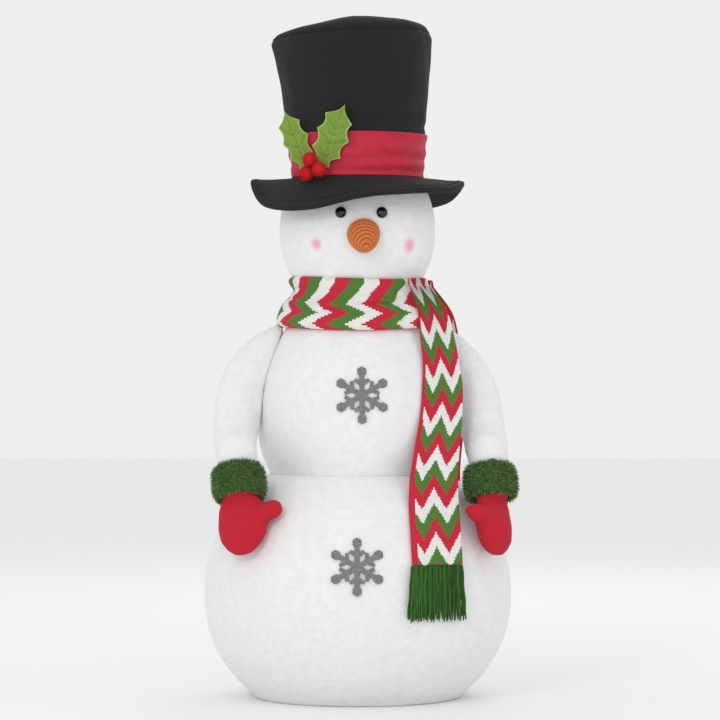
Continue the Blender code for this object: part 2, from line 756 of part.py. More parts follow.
TAIL_TOP_Z = NECK_Z + 0.0225
TAIL_STATIONS = (  # share of the length, centre x, share of the full width, slant
    (0.00, 0.0945, 0.36, 0.20), (0.095, 0.1157, 0.56, 0.20), (0.19, 0.1229, 0.67, 0.20),
    (0.28, 0.1283, 0.71, 0.22), (0.37, 0.1303, 0.80, 0.25), (0.465, 0.1284, 0.83, 0.25),
    (0.56, 0.1233, 0.88, 0.25), (0.64, 0.1187, 0.92, 0.28), (0.70, 0.1160, 0.96, 0.32),
    (0.79, 0.1157, 1.00, 0.38), (0.89, 0.1178, 1.00, 0.45), (1.00, 0.1201, 1.00, 0.50),
)


TAIL_COLUMNS = 5


def tail_ring(left, right, radius, slant, thickness, z, way):
    """The cloth's outline at one height: it follows a circle of this radius round Z, or
    a straight slant where that lies further out. way is -1 in front and 1 behind."""
    near = math.sqrt(max(radius ** 2 - left ** 2, 0.0))
    back = []
    for k in range(TAIL_COLUMNS):
        x = mix(left, right, k / (TAIL_COLUMNS - 1))
        on_circle = math.sqrt(max(radius ** 2 - x * x, 0.0))
        depth = max(on_circle, near - slant * (x - left)) + TAIL_CLEARANCE
        back.append((x, way * depth, z))
    front = [(x, y + way * thickness, z) for x, y, z in reversed(back)]
    return back + front


def make_scarf_tail(label, way, shift):
    """One hanging end of the scarf and its fringe, moved by shift along X."""
    rings = []
    for share, centre, width_share, slant in TAIL_STATIONS:
        z = TAIL_TOP_Z - SCARF_TAIL_LENGTH * share
        half = SCARF_WIDTH * width_share / 2
        left, right = centre + shift - half, centre + shift + half
        rings.append(tail_ring(left, right, drape_radius(z), slant, SCARF_THICKNESS, z, way))
    loft("scarf_tail_" + label, rings, "scarf_knit")
    fringe = []
    for t in (0.0, 0.4, 1.0):
        spread = 0.002 + 0.005 * t
        z_low = z - GAP - FRINGE_LENGTH * t
        radius = drape_radius(z) if t == 0 else BELLY_RADIUS
        fringe.append(tail_ring(left - spread, right + spread, radius, slant, 0.007, z_low, way))
    loft("scarf_fringe_" + label, fringe, "green_yarn")


# ---------------------------------------------------------------- blower


def sector_plate(name, radii, filled, sectors, thickness, slot, place):
    """A round plate of rings and bars. filled(ring, sector) says where there is
    material, and radii are the rings' edges from the inside out."""
    bm = bmesh.new()
    grid = []
    for radius in radii:
        row = []
        for k in range(sectors):
            a = math.tau * k / sectors
            row.append(bm.verts.new((radius * math.cos(a), radius * math.sin(a), 0)))
        grid.append(row)
    for ring in range(len(radii) - 1):
        for k in range(sectors):
            if filled(ring, k):
                j = (k + 1) % sectors
                bm.faces.new((grid[ring][k], grid[ring + 1][k], grid[ring + 1][j], grid[ring][j]))
    pushed = bmesh.ops.extrude_face_region(bm, geom=bm.faces[:])["geom"]
    tops = [v for v in pushed if isinstance(v, bmesh.types.BMVert)]
    bmesh.ops.translate(bm, verts=tops, vec=(0, 0, thickness))
    return object_from(name, bm, slot, place)


def make_port():
    """The sewn panel that gives the blower a flat seat, and its seal and clamp."""
    bore = HOUSING_RADIUS + PORT_CLEARANCE
    panel = disc("port_panel", PANEL_RADIUS, -0.060, 0, "nylon", to_back(PORT_Y), bore, 32)
    guide = keepout("belly_guide", belly_radius, BELLY_HEIGHTS, 2 * GAP)
    boolean(panel, guide)
    seal_low = GAP
    disc("port_gasket", FLANGE_RADIUS - 0.002, seal_low, seal_low + GASKET_THICKNESS,
         "foam_rubber", to_back(PORT_Y), bore + 0.0003, 24)
    disc("clamp_nut", HOUSING_RADIUS + 0.012, -0.048, -0.038, "black_plastic",
         to_back(PORT_Y), HOUSING_RADIUS + 2 * GAP, 24)


def make_blower():
    back = to_back(PORT_Y)
    seat = 2 * GAP + GASKET_THICKNESS
    top = seat + FLANGE_THICKNESS
    inner = HOUSING_RADIUS - HOUSING_WALL
    outline = [(inner, -HOUSING_DEPTH), (HOUSING_RADIUS, -HOUSING_DEPTH),
               (HOUSING_RADIUS, seat), (FLANGE_RADIUS, seat), (FLANGE_RADIUS, top), (inner, top)]
    lathe("blower_housing", outline, "black_plastic", back, 32)

    grille_low = top + GAP
    hub = INLET_RADIUS + 0.0015
    radii = (0.003, hub, mix(hub, GRILLE_RADIUS, 0.40), mix(hub, GRILLE_RADIUS, 0.46),
             mix(hub, GRILLE_RADIUS, 0.86), GRILLE_RADIUS)
    open_rings = (1, 3)
    sector_plate("intake_grille", radii, lambda ring, k: ring not in open_rings or k % 4 == 0,
                 32, GRILLE_THICKNESS, "black_plastic",
                 back @ Matrix.Translation((0, 0, grille_low)))

    inlet_low = grille_low + GRILLE_THICKNESS + GAP
    inlet = [(0, inlet_low), (INLET_RADIUS, inlet_low), (INLET_RADIUS, inlet_low + 0.011),
             (INLET_BORE, inlet_low + 0.011), (INLET_BORE, inlet_low + 0.002),
             (0.0009, inlet_low + 0.002), (0.0009, inlet_low + 0.009), (0, inlet_low + 0.009)]
    lathe("power_inlet", inlet, "black_plastic", back, 16, False)

    make_fan(back, inner)


def make_fan(back, bore):
    """Impeller, shaft, motor and the spider that holds the motor in the housing."""
    plate_z = -0.030
    outline = [(SHAFT_RADIUS + 0.0003, plate_z), (IMPELLER_RADIUS, plate_z),
               (IMPELLER_RADIUS, plate_z + 0.002), (0.009, plate_z + 0.002),
               (0.008, plate_z + 0.020), (SHAFT_RADIUS + 0.0003, plate_z + 0.020)]
    impeller = lathe("impeller", outline, "grey_plastic", back, 27)
    bm = bmesh.new()
    for i in range(IMPELLER_VANES):
        turn = math.tau * i / IMPELLER_VANES
        middle = []
        for s in range(5):
            t = s / 4
            radius = mix(0.014, IMPELLER_RADIUS - 0.0012, t)
            a = turn + 0.75 * t * t
            middle.append(Vector((radius * math.cos(a), radius * math.sin(a))))
        left, right = [], []
        for s, point in enumerate(middle):
            run = middle[min(s + 1, 4)] - middle[max(s - 1, 0)]
            side = Vector((-run.y, run.x)).normalized() * 0.0006
            left.append(point + side)
            right.append(point - side)
        outline = left + right[::-1]
        face = bm.faces.new([bm.verts.new((p.x, p.y, plate_z + 0.001)) for p in outline])
        pushed = bmesh.ops.extrude_face_region(bm, geom=[face])["geom"]
        tops = [v for v in pushed if isinstance(v, bmesh.types.BMVert)]
        bmesh.ops.translate(bm, verts=tops, vec=(0, 0, 0.017))
    vanes = object_from("vane_guide", bm, None, back)
    boolean(impeller, vanes, "UNION")

    motor_top = plate_z - 0.008
    disc("motor_shaft", SHAFT_RADIUS, motor_top + GAP, plate_z + 0.018, "steel", back, 0, 12)
    motor = [(0, motor_top - 0.036), (MOTOR_RADIUS, motor_top - 0.036),
             (MOTOR_RADIUS, motor_top - 0.002), (MOTOR_RADIUS - 0.002, motor_top), (0, motor_top)]
    lathe("fan_motor", motor, "steel", back, 24, False)
    radii = (MOTOR_RADIUS + 2 * GAP, MOTOR_RADIUS + 0.0035, bore - 0.0035, bore - 2 * GAP)
    sector_plate("motor_spider", radii, lambda ring, k: ring != 1 or k % 8 == 0, 24, 0.008,
                 "black_plastic", back @ Matrix.Translation((0, 0, motor_top - 0.026)))


# ---------------------------------------------------------------- inside


def make_insides():
    """Centre strap, baffles, lamps on their lead, and the sand bags."""
    strap_top = HEAD_TOP_Z - 0.001
    half = STRAP_WIDTH / 2
    box("centre_strap", (-half, 0, 0.0045), (half, STRAP_THICKNESS, strap_top), "webbing")
    half_thick = BAFFLE_THICKNESS / 2
    disc("waist_baffle", WAIST_RADIUS - COVER_WALL - 0.001, WAIST_Z - half_thick,
         WAIST_Z + half_thick, "nylon", None, BAFFLE_VENT, COVER_SEGMENTS)
    baffle_low = HEAD_TOP_Z + GAP
    disc("hat_baffle", HEAD_TOP_RADIUS - 0.005, baffle_low, baffle_low + BAFFLE_THICKNESS,
         "nylon", None, 0, COVER_SEGMENTS)

    lamp_x, lamp_y, lamp_z = (side / 2 for side in LAMP_SIZE)
    front = -2 * GAP
    centre_y = front - lamp_y
    heights = {"low": BELLY_MAX_Z + 0.030, "high": CHEST_MAX_Z + 0.030}
    for label, z in heights.items():
        box("lamp_holder_" + label, (-lamp_x, centre_y - lamp_y, z - lamp_z),
            (lamp_x, centre_y + lamp_y, z + lamp_z), "grey_plastic")
        dome = [(0, 0), (0.008, 0), (0.008, 0.003), (0.0062, 0.0075), (0, 0.0095)]
        place = frame_at(Vector((0, centre_y - lamp_y - GAP, z)), Vector((0, -1, 0)))
        lathe("lamp_lens_" + label, dome, "lens", place, 14, False)

    disc("lamp_lead_upper", LEAD_RADIUS, heights["low"] + lamp_z + GAP,
         heights["high"] - lamp_z - GAP, "webbing", Matrix.Translation((0, centre_y, 0)), 0, 8)
    low_end = heights["low"] - lamp_z - 4 * GAP
    route = [
        Vector((0, centre_y, low_end)), Vector((0.006, centre_y - 0.004, low_end - 0.030)),
        Vector((0.030, centre_y, 0.105)), Vector((0.050, 0.040, 0.080)),
        Vector((0.050, 0.110, 0.072)), Vector((0.036, 0.150, 0.084)),
        Vector((0.016, PORT_Y - HOUSING_DEPTH - 0.012, 0.108)),
        Vector((0.010, PORT_Y - HOUSING_DEPTH + 0.0185, BLOWER_Z - 0.0125)),
    ]
    curve = bpy.data.curves.new("lamp_lead_lower", "CURVE")
    curve.dimensions = "3D"
    spline = curve.splines.new("POLY")
    steps = 22
    spline.points.add(steps)
    for i in range(steps + 1):
        spline.points[i].co = (*along(route, i / steps), 1)
    curve.bevel_depth = LEAD_RADIUS
    curve.bevel_resolution = 2
    curve.use_fill_caps = True
    add_object("lamp_lead_lower", curve, "webbing")

    width, depth, height = BAG_SIZE
    for side, label in ((-1, "left"), (1, "right")):
        rings = []
        for t in (0.0, 0.18, 0.5, 0.82, 1.0):
            swell = 0.72 + 0.28 * math.sin(math.pi * t)
            ring = []
            for k in range(16):
                a = math.tau * k / 16
                c, s = math.cos(a), math.sin(a)
                x = math.copysign(abs(c) ** 0.6, c) * width / 2 * swell
                y = math.copysign(abs(s) ** 0.6, s) * depth / 2 * swell
                ring.append((side * 0.070 + x, y - 0.010, 0.005 + height * t))
            rings.append(ring)
        loft("ballast_bag_" + label, rings, "sand_bag")


# ---------------------------------------------------------------- zip and tethers


def make_zip():
    z = CHEST_MAX_Z
    tape_r = CHEST_RADIUS + SEWN_GAP
    flat = 0.0012
    section = [(0, -ZIP_TAPE / 2), (flat, -ZIP_TAPE / 2), (flat, -ZIP_CHAIN / 2),
               (ZIP_RISE, -ZIP_CHAIN / 2), (ZIP_RISE, ZIP_CHAIN / 2), (flat, ZIP_CHAIN / 2),
               (flat, ZIP_TAPE / 2), (0, ZIP_TAPE / 2)]
    steps = 14
    rings = []
    for i in range(steps + 1):
        a = math.pi / 2 - ZIP_HALF_ANGLE + 2 * ZIP_HALF_ANGLE * i / steps
        rings.append([((tape_r + out) * math.cos(a), (tape_r + out) * math.sin(a), z + up)
                      for out, up in section])
    loft("zip_tape", rings, "zip_tape")
    slider_r = tape_r + ZIP_RISE + 2 * GAP
    a = math.pi / 2 + ZIP_REST_ANGLE
    outward = Vector((math.cos(a), math.sin(a), 0))
    place = frame_at(outward * slider_r + Vector((0, 0, z)), outward)
    outline = [(-0.0045, -0.0050), (0.0045, -0.0050), (0.0060, 0.0), (0.0045, 0.0050),
               (-0.0045, 0.0050), (-0.0060, 0.0)]
    plate("zip_slider", outline, 0.0034, "steel", place)
    tab = [(-0.0022, 0.0004), (-0.0022, -0.0040), (-0.0036, -0.0200), (0.0, -0.0235),
           (0.0036, -0.0200), (0.0022, -0.0040), (0.0022, 0.0004)]
    plate("zip_pull", tab, 0.0012, "steel", place @ Matrix.Translation((0, 0, 0.0040)))


def make_tethers():
    """Webbing loops sewn to the belly's widest part, each with a steel D ring."""
    for side, label in ((-1, "left"), (1, "right")):
        a = math.pi / 2 - side * (math.pi / 2 - TETHER_ANGLE)
        outward = Vector((math.cos(a), math.sin(a), 0))
        base = outward * (BELLY_RADIUS + SEWN_GAP) + Vector((0, 0, TETHER_Z))
        place = frame_at(base, outward)
        loop_r = RING_WIRE + 0.0004
        wall = 0.0018
        tab = box("tether_tab_" + label, (-0.0075, -0.001, 0), (0.0075, 0.030, 0.0018), "webbing", place)
        along_x = Matrix.Translation((0, 0, loop_r + wall + 0.0006)) @ Matrix.Rotation(
            math.pi / 2, 4, "Y"
        )
        spot = place @ along_x
        boolean(tab, disc("loop_guide", loop_r + wall, -0.0075, 0.0075, None, spot, 0, 16), "UNION")
        boolean(tab, disc("loop_hole", loop_r, -0.02, 0.02, None, spot, 0, 16))

        curve = bpy.data.curves.new("tether_ring_" + label, "CURVE")
        curve.dimensions = "3D"
        spline = curve.splines.new("POLY")
        half = RING_RADIUS
        points = [(half * math.cos(t), -half * math.sin(t) * 1.25) for t in
                  (math.pi * i / 12 for i in range(13))]
        points += [(x * half, 0.0) for x in (-0.5, 0.0, 0.5)]
        spline.points.add(len(points) - 1)
        for target, (x, y) in zip(spline.points, points):
            target.co = (x, y, 0, 1)
        spline.use_cyclic_u = True
        curve.bevel_depth = RING_WIRE
        curve.bevel_resolution = 1
        ring = add_object("tether_ring_" + label, curve, "steel")
        ring.matrix_world = place @ Matrix.Translation((0, 0, loop_r + wall + 0.0006))


def main():
    clear_scene()
    make_covers()
    make_face()
    make_hat()
    make_holly()
    make_snowflake("snowflake_chest", chest_radius, 0.0068, CHEST_FLAKE_Z)
    make_snowflake("snowflake_belly", belly_radius, -0.0005, BELLY_FLAKE_Z)
    chest_guide = keepout("chest_guide", chest_radius, CHEST_HEIGHTS, ARM_GAP)
    make_arm("left", -1, chest_guide)
    make_arm("right", 1, chest_guide)
    make_scarf_wrap()
    make_scarf_tail("front", -1, 0.0)
    make_scarf_tail("back", 1, BACK_TAIL_SHIFT)
    make_port()
    make_blower()
    make_insides()
    make_zip()
    make_tethers()


main()
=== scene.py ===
"""Looks of the inflatable yard snowman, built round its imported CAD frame. Metres, +Z up."""
import json
from math import asin, atan2, copysign, cos, dist, exp, floor, hypot, pi, radians, sin, sqrt, tau

import bpy
import numpy as np
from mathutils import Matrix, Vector
from mathutils.bvhtree import BVHTree
from mathutils.noise import noise


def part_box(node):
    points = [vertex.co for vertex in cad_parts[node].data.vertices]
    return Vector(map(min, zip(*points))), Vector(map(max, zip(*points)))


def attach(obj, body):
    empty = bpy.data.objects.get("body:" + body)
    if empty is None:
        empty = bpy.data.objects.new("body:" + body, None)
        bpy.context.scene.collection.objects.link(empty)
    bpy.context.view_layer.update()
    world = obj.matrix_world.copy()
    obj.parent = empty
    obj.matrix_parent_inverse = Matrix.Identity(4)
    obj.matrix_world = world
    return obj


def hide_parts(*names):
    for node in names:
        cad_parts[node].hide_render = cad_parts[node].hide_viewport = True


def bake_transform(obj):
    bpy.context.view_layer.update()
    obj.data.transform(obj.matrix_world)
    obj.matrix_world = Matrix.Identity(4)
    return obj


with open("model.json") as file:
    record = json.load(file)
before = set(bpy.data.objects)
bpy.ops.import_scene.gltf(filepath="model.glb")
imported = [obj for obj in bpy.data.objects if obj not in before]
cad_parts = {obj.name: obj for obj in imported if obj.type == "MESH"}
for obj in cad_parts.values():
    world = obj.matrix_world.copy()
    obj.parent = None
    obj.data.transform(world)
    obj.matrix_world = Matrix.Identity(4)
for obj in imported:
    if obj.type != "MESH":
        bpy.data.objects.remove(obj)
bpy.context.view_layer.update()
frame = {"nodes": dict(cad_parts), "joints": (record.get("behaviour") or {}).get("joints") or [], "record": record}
NODES = frame["nodes"]
JOINTS = {joint["name"]: joint for joint in frame["joints"]}
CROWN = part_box("hat_crown")

# Camera
CAMERA_DISTANCE = 5.0
VIEW_HEIGHT = 1.1304
CAMERA_X = 0.0039
CAMERA_Z = 0.5275
SENSOR = 36.0
WORLD_STRENGTH = 0.86

# Fleece covers
COVER_COLUMNS = 240
COVER_ROW_STEP = 0.0032
COVER_WALL = 0.003
LUMP = 0.0011
PILE = 0.0004
PORT_HOLE = 0.0665
TURN_IN = 0.012

# Scarf
STITCH = 0.0021
ROW = 0.0021
WRAP_STITCH = 0.0026
STITCH_DEPTH = 0.00038
ZIGZAG_RISE = 0.033
STRIPE = 0.0225
CLOTH = 0.0022
SCARF_WIDTH = 0.075
TAIL_PHASE = 0.0588
TAIL_HOOK = 0.021
WRAP_SECTION = (  # radius and height, from the inside of the foot to the inside of the top
    (0.1110, 0.5860), (0.1165, 0.5810), (0.1240, 0.5845), (0.1246, 0.5930), (0.1205, 0.6035),
    (0.1150, 0.6140), (0.1080, 0.6240), (0.1045, 0.6340), (0.1060, 0.6440), (0.1065, 0.6510),
    (0.1035, 0.6545), (0.0990, 0.6520))
WRAP_ZIG_SHARES = (0.06, 0.20, 0.36, 0.52, 0.88)
WRAP_RISE = 0.0275
WRAP_KNOT = radians(-54)
WRAP_BORDER = 0.10
WRAP_SAG_LOW = 0.0060
WRAP_SAG_HIGH = 0.0035
WRAP_FOLDS = (  # direction, half spread, height, slope, step
    (radians(-72), 0.42, 0.6180, -0.016, 0.0034), (radians(-112), 0.34, 0.6080, 0.006, 0.0028),
    (radians(-165), 0.36, 0.6260, -0.030, 0.0036), (radians(70), 0.60, 0.6200, 0.010, 0.0030),
    (radians(140), 0.45, 0.6060, -0.012, 0.0030))
FRINGE_STRANDS = 44
YARN_RADIUS = 0.00125

# Arms, cuffs and berries
SHOULDER_RISE = 0.015
PALM_HALF = 0.0345
PRESS_REACH = 0.018
FUR_TUFTS = 6800
FUR_LENGTH = 0.0068
FUR_WIDTH = 0.00055
BERRY_TUFTS = 1100

# Hat
HAT_RADIUS = 0.099
HAT_TOP_RADIUS = 0.1265
HAT_LEAN = 0.0095
CROWN_SEAM = radians(-80)
BRIM_INNER = 0.1015
BRIM_RADIUS = 0.163
BRIM_SEAM = 0.93
BRIM_EDGE = (0.009, 0.031, 0.039, 0.039, 0.034, 0.021, 0.006, 0.044, 0.052, 0.035, 0.026, 0.021)
LEAF_HALF_WIDTH = 0.0278

# Face and patches
HEAD_Z = 0.7316
EYE_RADIUS = 0.0088
NOSE_RADIUS = 0.025
NOSE_LENGTH = 0.060
NOSE_TILT = radians(26)
NOSE_CORD = 0.0078
FLAKE_STAND = 0.0021
FLAKE_FOLD = 0.09
PATCH_LIFT = 0.0006
RIPPLE = 0.0003
RIPPLE_SHIFTS = (0.0, 7.3, 15.1)
BAFFLE_VENT = 0.040
TOOTH_PITCH = 0.0022
PANEL_SEAM = 0.0695
PANEL_STITCHES = 84
SCREW_CIRCLE = 0.0605

# Colours, as linear values
WHITE = (0.86, 0.86, 0.87)
SCARF_COLOURS = {"white": (0.78, 0.78, 0.75), "green": (0.072, 0.190, 0.026), "red": (0.56, 0.012, 0.040)}


# ---- small tools


def mix(a, b, t):
    return a + (b - a) * t


def smooth_step(t):
    t = min(max(t, 0.0), 1.0)
    return t * t * (3 - 2 * t)


def hash01(*keys):
    """A steady number from 0 to 1 for these whole numbers."""
    value = sin(sum(k * w for k, w in zip(keys, (12.9898, 78.233, 37.719)))) * 43758.5453
    return value - floor(value)


def catmull(points, t):
    """The point at t, from 0 to 1, on a smooth curve through evenly spaced points."""
    spans = len(points) - 1
    i = min(int(t * spans), spans - 1)
    f = t * spans - i
    p1, p2 = points[i], points[i + 1]
    p0 = points[i - 1] if i else p1 * 2 - p2
    p3 = points[i + 2] if i + 2 <= spans else p2 * 2 - p1
    bend = (p0 * 2 - p1 * 5 + p2 * 4 - p3) * f + (p1 * 3 - p0 - p2 * 3 + p3) * f * f
    return p1 + ((p2 - p0) + bend) * (0.5 * f)


def piece(name, verts, faces, slot, body, smooth=True, materials=None, indices=None):
    """A new mesh object with its material or materials, on its CAD body."""
    mesh = bpy.data.meshes.new(name)
    mesh.from_pydata([tuple(v) for v in verts], [], faces)
    for item in materials or [MATERIALS[slot]]:
        mesh.materials.append(item)
    if indices is not None:
        mesh.polygons.foreach_set("material_index", indices)
    mesh.polygons.foreach_set("use_smooth", [smooth] * len(mesh.polygons))
    mesh.validate()
    obj = bpy.data.objects.new(name, mesh)
    bpy.context.scene.collection.objects.link(obj)
    if body:
        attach(obj, body)
    return obj


def turned(rows, columns, place):
    """The points place(row, angle) gives, row by row."""
    return [place(row, tau * c / columns) for row in rows for c in range(columns)]


def around(centre, side, up, radius, a):
    """The point on a circle at angle a."""
    return centre + (side * cos(a) + up * sin(a)) * radius


def fan(start, columns, tip):
    """Triangles from a ring to its tip."""
    return [(start + c, start + (c + 1) % columns, tip) for c in range(columns)]


def seam(start, columns):
    """Quads that close a turned grid, from its last ring to its first."""
    return [(start + c, start + (c + 1) % columns, (c + 1) % columns, c) for c in range(columns)]


def angle_from(a, middle):
    """a - middle, between half a turn back and half a turn on."""
    return (a - middle + pi) % tau - pi


def bell(x, width):
    """1 at 0, falling off smoothly over this width."""
    return exp(-(x / width) ** 2)


def grid_faces(rows, columns, closed=False):
    """Quads of a grid of points stored row by row; closed joins the last column to the first."""
    faces = []
    for r in range(rows - 1):
        for c in range(columns if closed else columns - 1):
            d = (c + 1) % columns
            a, b = r * columns, (r + 1) * columns
            faces.append((a + c, a + d, b + d, b + c))
    return faces


def tube(path, radii, sides):
    """Points and quads of a capped tube round a path."""
    verts = []
    for i, point in enumerate(path):
        tangent = (path[min(i + 1, len(path) - 1)] - path[max(i - 1, 0)]).normalized()
        side = tangent.orthogonal().normalized()
        if i and abs(side.dot(last)) < 0.999:
            side = (last - tangent * last.dot(tangent)).normalized()
        last = side
        up = tangent.cross(side)
        verts += [around(point, side, up, radii[i], tau * k / sides) for k in range(sides)]
    faces = grid_faces(len(path), sides, closed=True)
    faces.append(tuple(reversed(range(sides))))
    faces.append(tuple(range((len(path) - 1) * sides, len(path) * sides)))
    return verts, faces


class Heap:
    """Collects many small meshes into one piece."""

    def __init__(self):
        self.verts = []
        self.faces = []
        self.indices = []

    def add(self, verts, faces, index=0):
        start = len(self.verts)
        self.verts += verts
        self.faces += [tuple(v + start for v in face) for face in faces]
        self.indices += [index] * len(faces)

    def make(self, name, slot, body, smooth=True, materials=None):
        return piece(name, self.verts, self.faces, slot, body, smooth, materials, self.indices)


def apply_modifiers(obj):
    """Turns the object's modifiers into its mesh."""
    graph = bpy.context.evaluated_depsgraph_get()
    mesh = bpy.data.meshes.new_from_object(obj.evaluated_get(graph))
    obj.modifiers.clear()
    obj.data = mesh


def thicken(obj, wall):
    """Gives an open face this much cloth behind it."""
    solid = obj.modifiers.new("wall", "SOLIDIFY")
    solid.thickness = wall
    solid.offset = -1.0
    apply_modifiers(obj)


def smooth_shade(mesh):
    mesh.polygons.foreach_set("use_smooth", [True] * len(mesh.polygons))


def copy_node(name, node):
    """A new object with the node's own mesh."""
    obj = bpy.data.objects.new(name, NODES[node].data.copy())
    bpy.context.scene.collection.objects.link(obj)
    return obj


def soft_copy(name, node, body, slot, voxel, rounding, lump=0.0, lump_size=0.04):
    """A smooth soft form over a CAD solid, with slow lumps. The node is then hidden."""
    obj = copy_node(name, node)
    remesh = obj.modifiers.new("remesh", "REMESH")
    remesh.mode = "VOXEL"
    remesh.voxel_size = voxel
    soften = obj.modifiers.new("soften", "SMOOTH")
    soften.factor = 0.5
    soften.iterations = rounding
    apply_modifiers(obj)
    if lump:
        for vert in obj.data.vertices:
            normal = vert.normal.copy()
            vert.co += normal * (noise(vert.co / lump_size) * lump)
    obj.data.materials.clear()
    obj.data.materials.append(MATERIALS[slot])
    smooth_shade(obj.data)
    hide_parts(node)
    if body:
        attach(obj, body)
    return obj


# ---- materials


class Shader:
    """A short way to write a node material."""

    def __init__(self, name, colour, roughness, metallic=0.0):
        self.material = bpy.data.materials.new(name)
        self.material.use_nodes = True
        self.nodes = self.material.node_tree.nodes
        self.links = self.material.node_tree.links
        self.surface = self.nodes["Principled BSDF"]
        self.surface.inputs["Base Color"].default_value = (*colour, 1)
        self.surface.inputs["Roughness"].default_value = roughness
        self.surface.inputs["Metallic"].default_value = metallic
        self.place = self.node("ShaderNodeTexCoord").outputs["Object"]
        self.height = None

    def node(self, kind, **values):
        made = self.nodes.new(kind)
        for key, value in values.items():
            setattr(made, key, value)
        return made

    def sheen(self, weight, roughness=0.4, tint=(1, 1, 1)):
        self.surface.inputs["Sheen Weight"].default_value = weight
        self.surface.inputs["Sheen Roughness"].default_value = roughness
        self.surface.inputs["Sheen Tint"].default_value = (*tint, 1)

    def noise(self, size, detail=3.0, stretch=None):
        """Noise whose features are about this many metres across."""
        source = self.place
        if stretch:
            mapping = self.node("ShaderNodeMapping")
            mapping.inputs["Scale"].default_value = stretch
            self.links.new(source, mapping.inputs["Vector"])
            source = mapping.outputs["Vector"]
        texture = self.node("ShaderNodeTexNoise")
        texture.inputs["Scale"].default_value = 1.0 / size
        texture.inputs["Detail"].default_value = detail
        self.links.new(source, texture.inputs["Vector"])
        return texture.outputs["Fac"]

    def math(self, operation, a, b=0.0):
        made = self.node("ShaderNodeMath", operation=operation)
        for socket, value in zip(made.inputs, (a, b)):
            if isinstance(value, (int, float)):
                socket.default_value = value
            else:
                self.links.new(value, socket)
        return made.outputs[0]

    def weave(self, pitch):
        """Crossed threads: 0 in the gaps and 1 on the threads."""
        split = self.node("ShaderNodeSeparateXYZ")
        self.links.new(self.place, split.inputs[0])
        waves = [self.math("SINE", self.math("MULTIPLY", split.outputs[axis], tau / pitch))
                 for axis in "XZ"]
        product = self.math("MULTIPLY", waves[0], waves[1])
        return self.math("ADD", self.math("MULTIPLY", product, 0.5), 0.5)

    def vary(self, fac, dark, light, low=0.3, high=0.7):
        """Colour that runs from dark to light as fac goes from low to high."""
        ramp = self.node("ShaderNodeValToRGB")
        ramp.color_ramp.elements[0].position = low
        ramp.color_ramp.elements[1].position = high
        ramp.color_ramp.elements[0].color = (*dark, 1)
        ramp.color_ramp.elements[1].color = (*light, 1)
        self.links.new(fac, ramp.inputs["Fac"])
        self.links.new(ramp.outputs["Color"], self.surface.inputs["Base Color"])
        return ramp.outputs["Color"]

    def bump(self, fac, depth, strength=1.0):
        """Adds relief this many metres deep."""
        made = self.node("ShaderNodeBump")
        made.inputs["Distance"].default_value = depth
        made.inputs["Strength"].default_value = strength
        self.links.new(fac, made.inputs["Height"])
        if self.height:
            self.links.new(self.height, made.inputs["Normal"])
        self.height = made.outputs["Normal"]
        self.links.new(self.height, self.surface.inputs["Normal"])

    def spots(self, base, colour, centres):
        """Soft round patches of another colour, at (centre, radius) places."""
        for centre, radius in centres:
            distance = self.node("ShaderNodeVectorMath", operation="DISTANCE")
            self.links.new(self.place, distance.inputs[0])
            distance.inputs[1].default_value = centre
            fade = self.node("ShaderNodeMapRange", interpolation_type="SMOOTHSTEP")
            self.links.new(distance.outputs["Value"], fade.inputs["Value"])
            fade.inputs["From Min"].default_value = radius * 0.15
            fade.inputs["From Max"].default_value = radius
            fade.inputs["To Min"].default_value = 0.85
            fade.inputs["To Max"].default_value = 0.0
            blended = self.node("ShaderNodeMix", data_type="RGBA")
            self.links.new(fade.outputs["Result"], blended.inputs["Factor"])
            self.links.new(base, blended.inputs[6])
            blended.inputs[7].default_value = (*colour, 1)
            base = blended.outputs[2]
        self.links.new(base, self.surface.inputs["Base Color"])


def scaled(colour, factor):
    return tuple(min(channel * factor, 1.0) for channel in colour)


def fleece_material(name, blushes=()):
    """Short white pile: fine tufts, and faint shade where it lies differently."""
    made = Shader(name, WHITE, 0.95)
    made.sheen(0.35, 0.5)
    base = made.vary(made.noise(0.012, 4.0), scaled(WHITE, 0.93), WHITE)
    if blushes:
        made.spots(base, (0.87, 0.34, 0.43), blushes)
    made.bump(made.noise(0.0016, 2.0), 0.0007, 0.8)
    made.bump(made.noise(0.006, 3.0), 0.0010, 0.5)
    return made.material


def felt_material(name, colour, fibre=0.0009, contrast=0.25, grain=0.0003, sheen=0.2):
    """Pressed or brushed cloth with a mottled, fibrous face."""
    made = Shader(name, colour, 0.92)
    made.sheen(sheen, 0.5, scaled(colour, 3.0))
    made.vary(made.noise(fibre, 3.0), scaled(colour, 1 - contrast), scaled(colour, 1 + contrast))
    made.bump(made.noise(fibre, 3.0), grain, 0.8)
    made.bump(made.noise(0.010, 2.0), 0.0006, 0.4)
    return made.material


def woven_material(name, colour, pitch, roughness=0.75, sheen=0.3):
    """Plain woven cloth with its threads crossing."""
    made = Shader(name, colour, roughness)
    made.sheen(sheen, 0.4, scaled(colour, 2.5))
    made.vary(made.noise(0.015, 3.0), scaled(colour, 0.88), scaled(colour, 1.08))
    made.bump(made.weave(pitch), pitch * 0.18, 0.7)
    made.bump(made.noise(0.02, 2.0), 0.0008, 0.35)
    return made.material


def yarn_material(name, colour):
    """Soft acrylic yarn with fine fibres."""
    made = Shader(name, colour, 0.9)
    made.sheen(0.1, 0.5, scaled(colour, 2.0))
    made.vary(made.noise(0.0012, 3.0), scaled(colour, 0.78), scaled(colour, 1.18))
    made.bump(made.noise(0.0006, 2.0), 0.00015, 0.8)
    return made.material


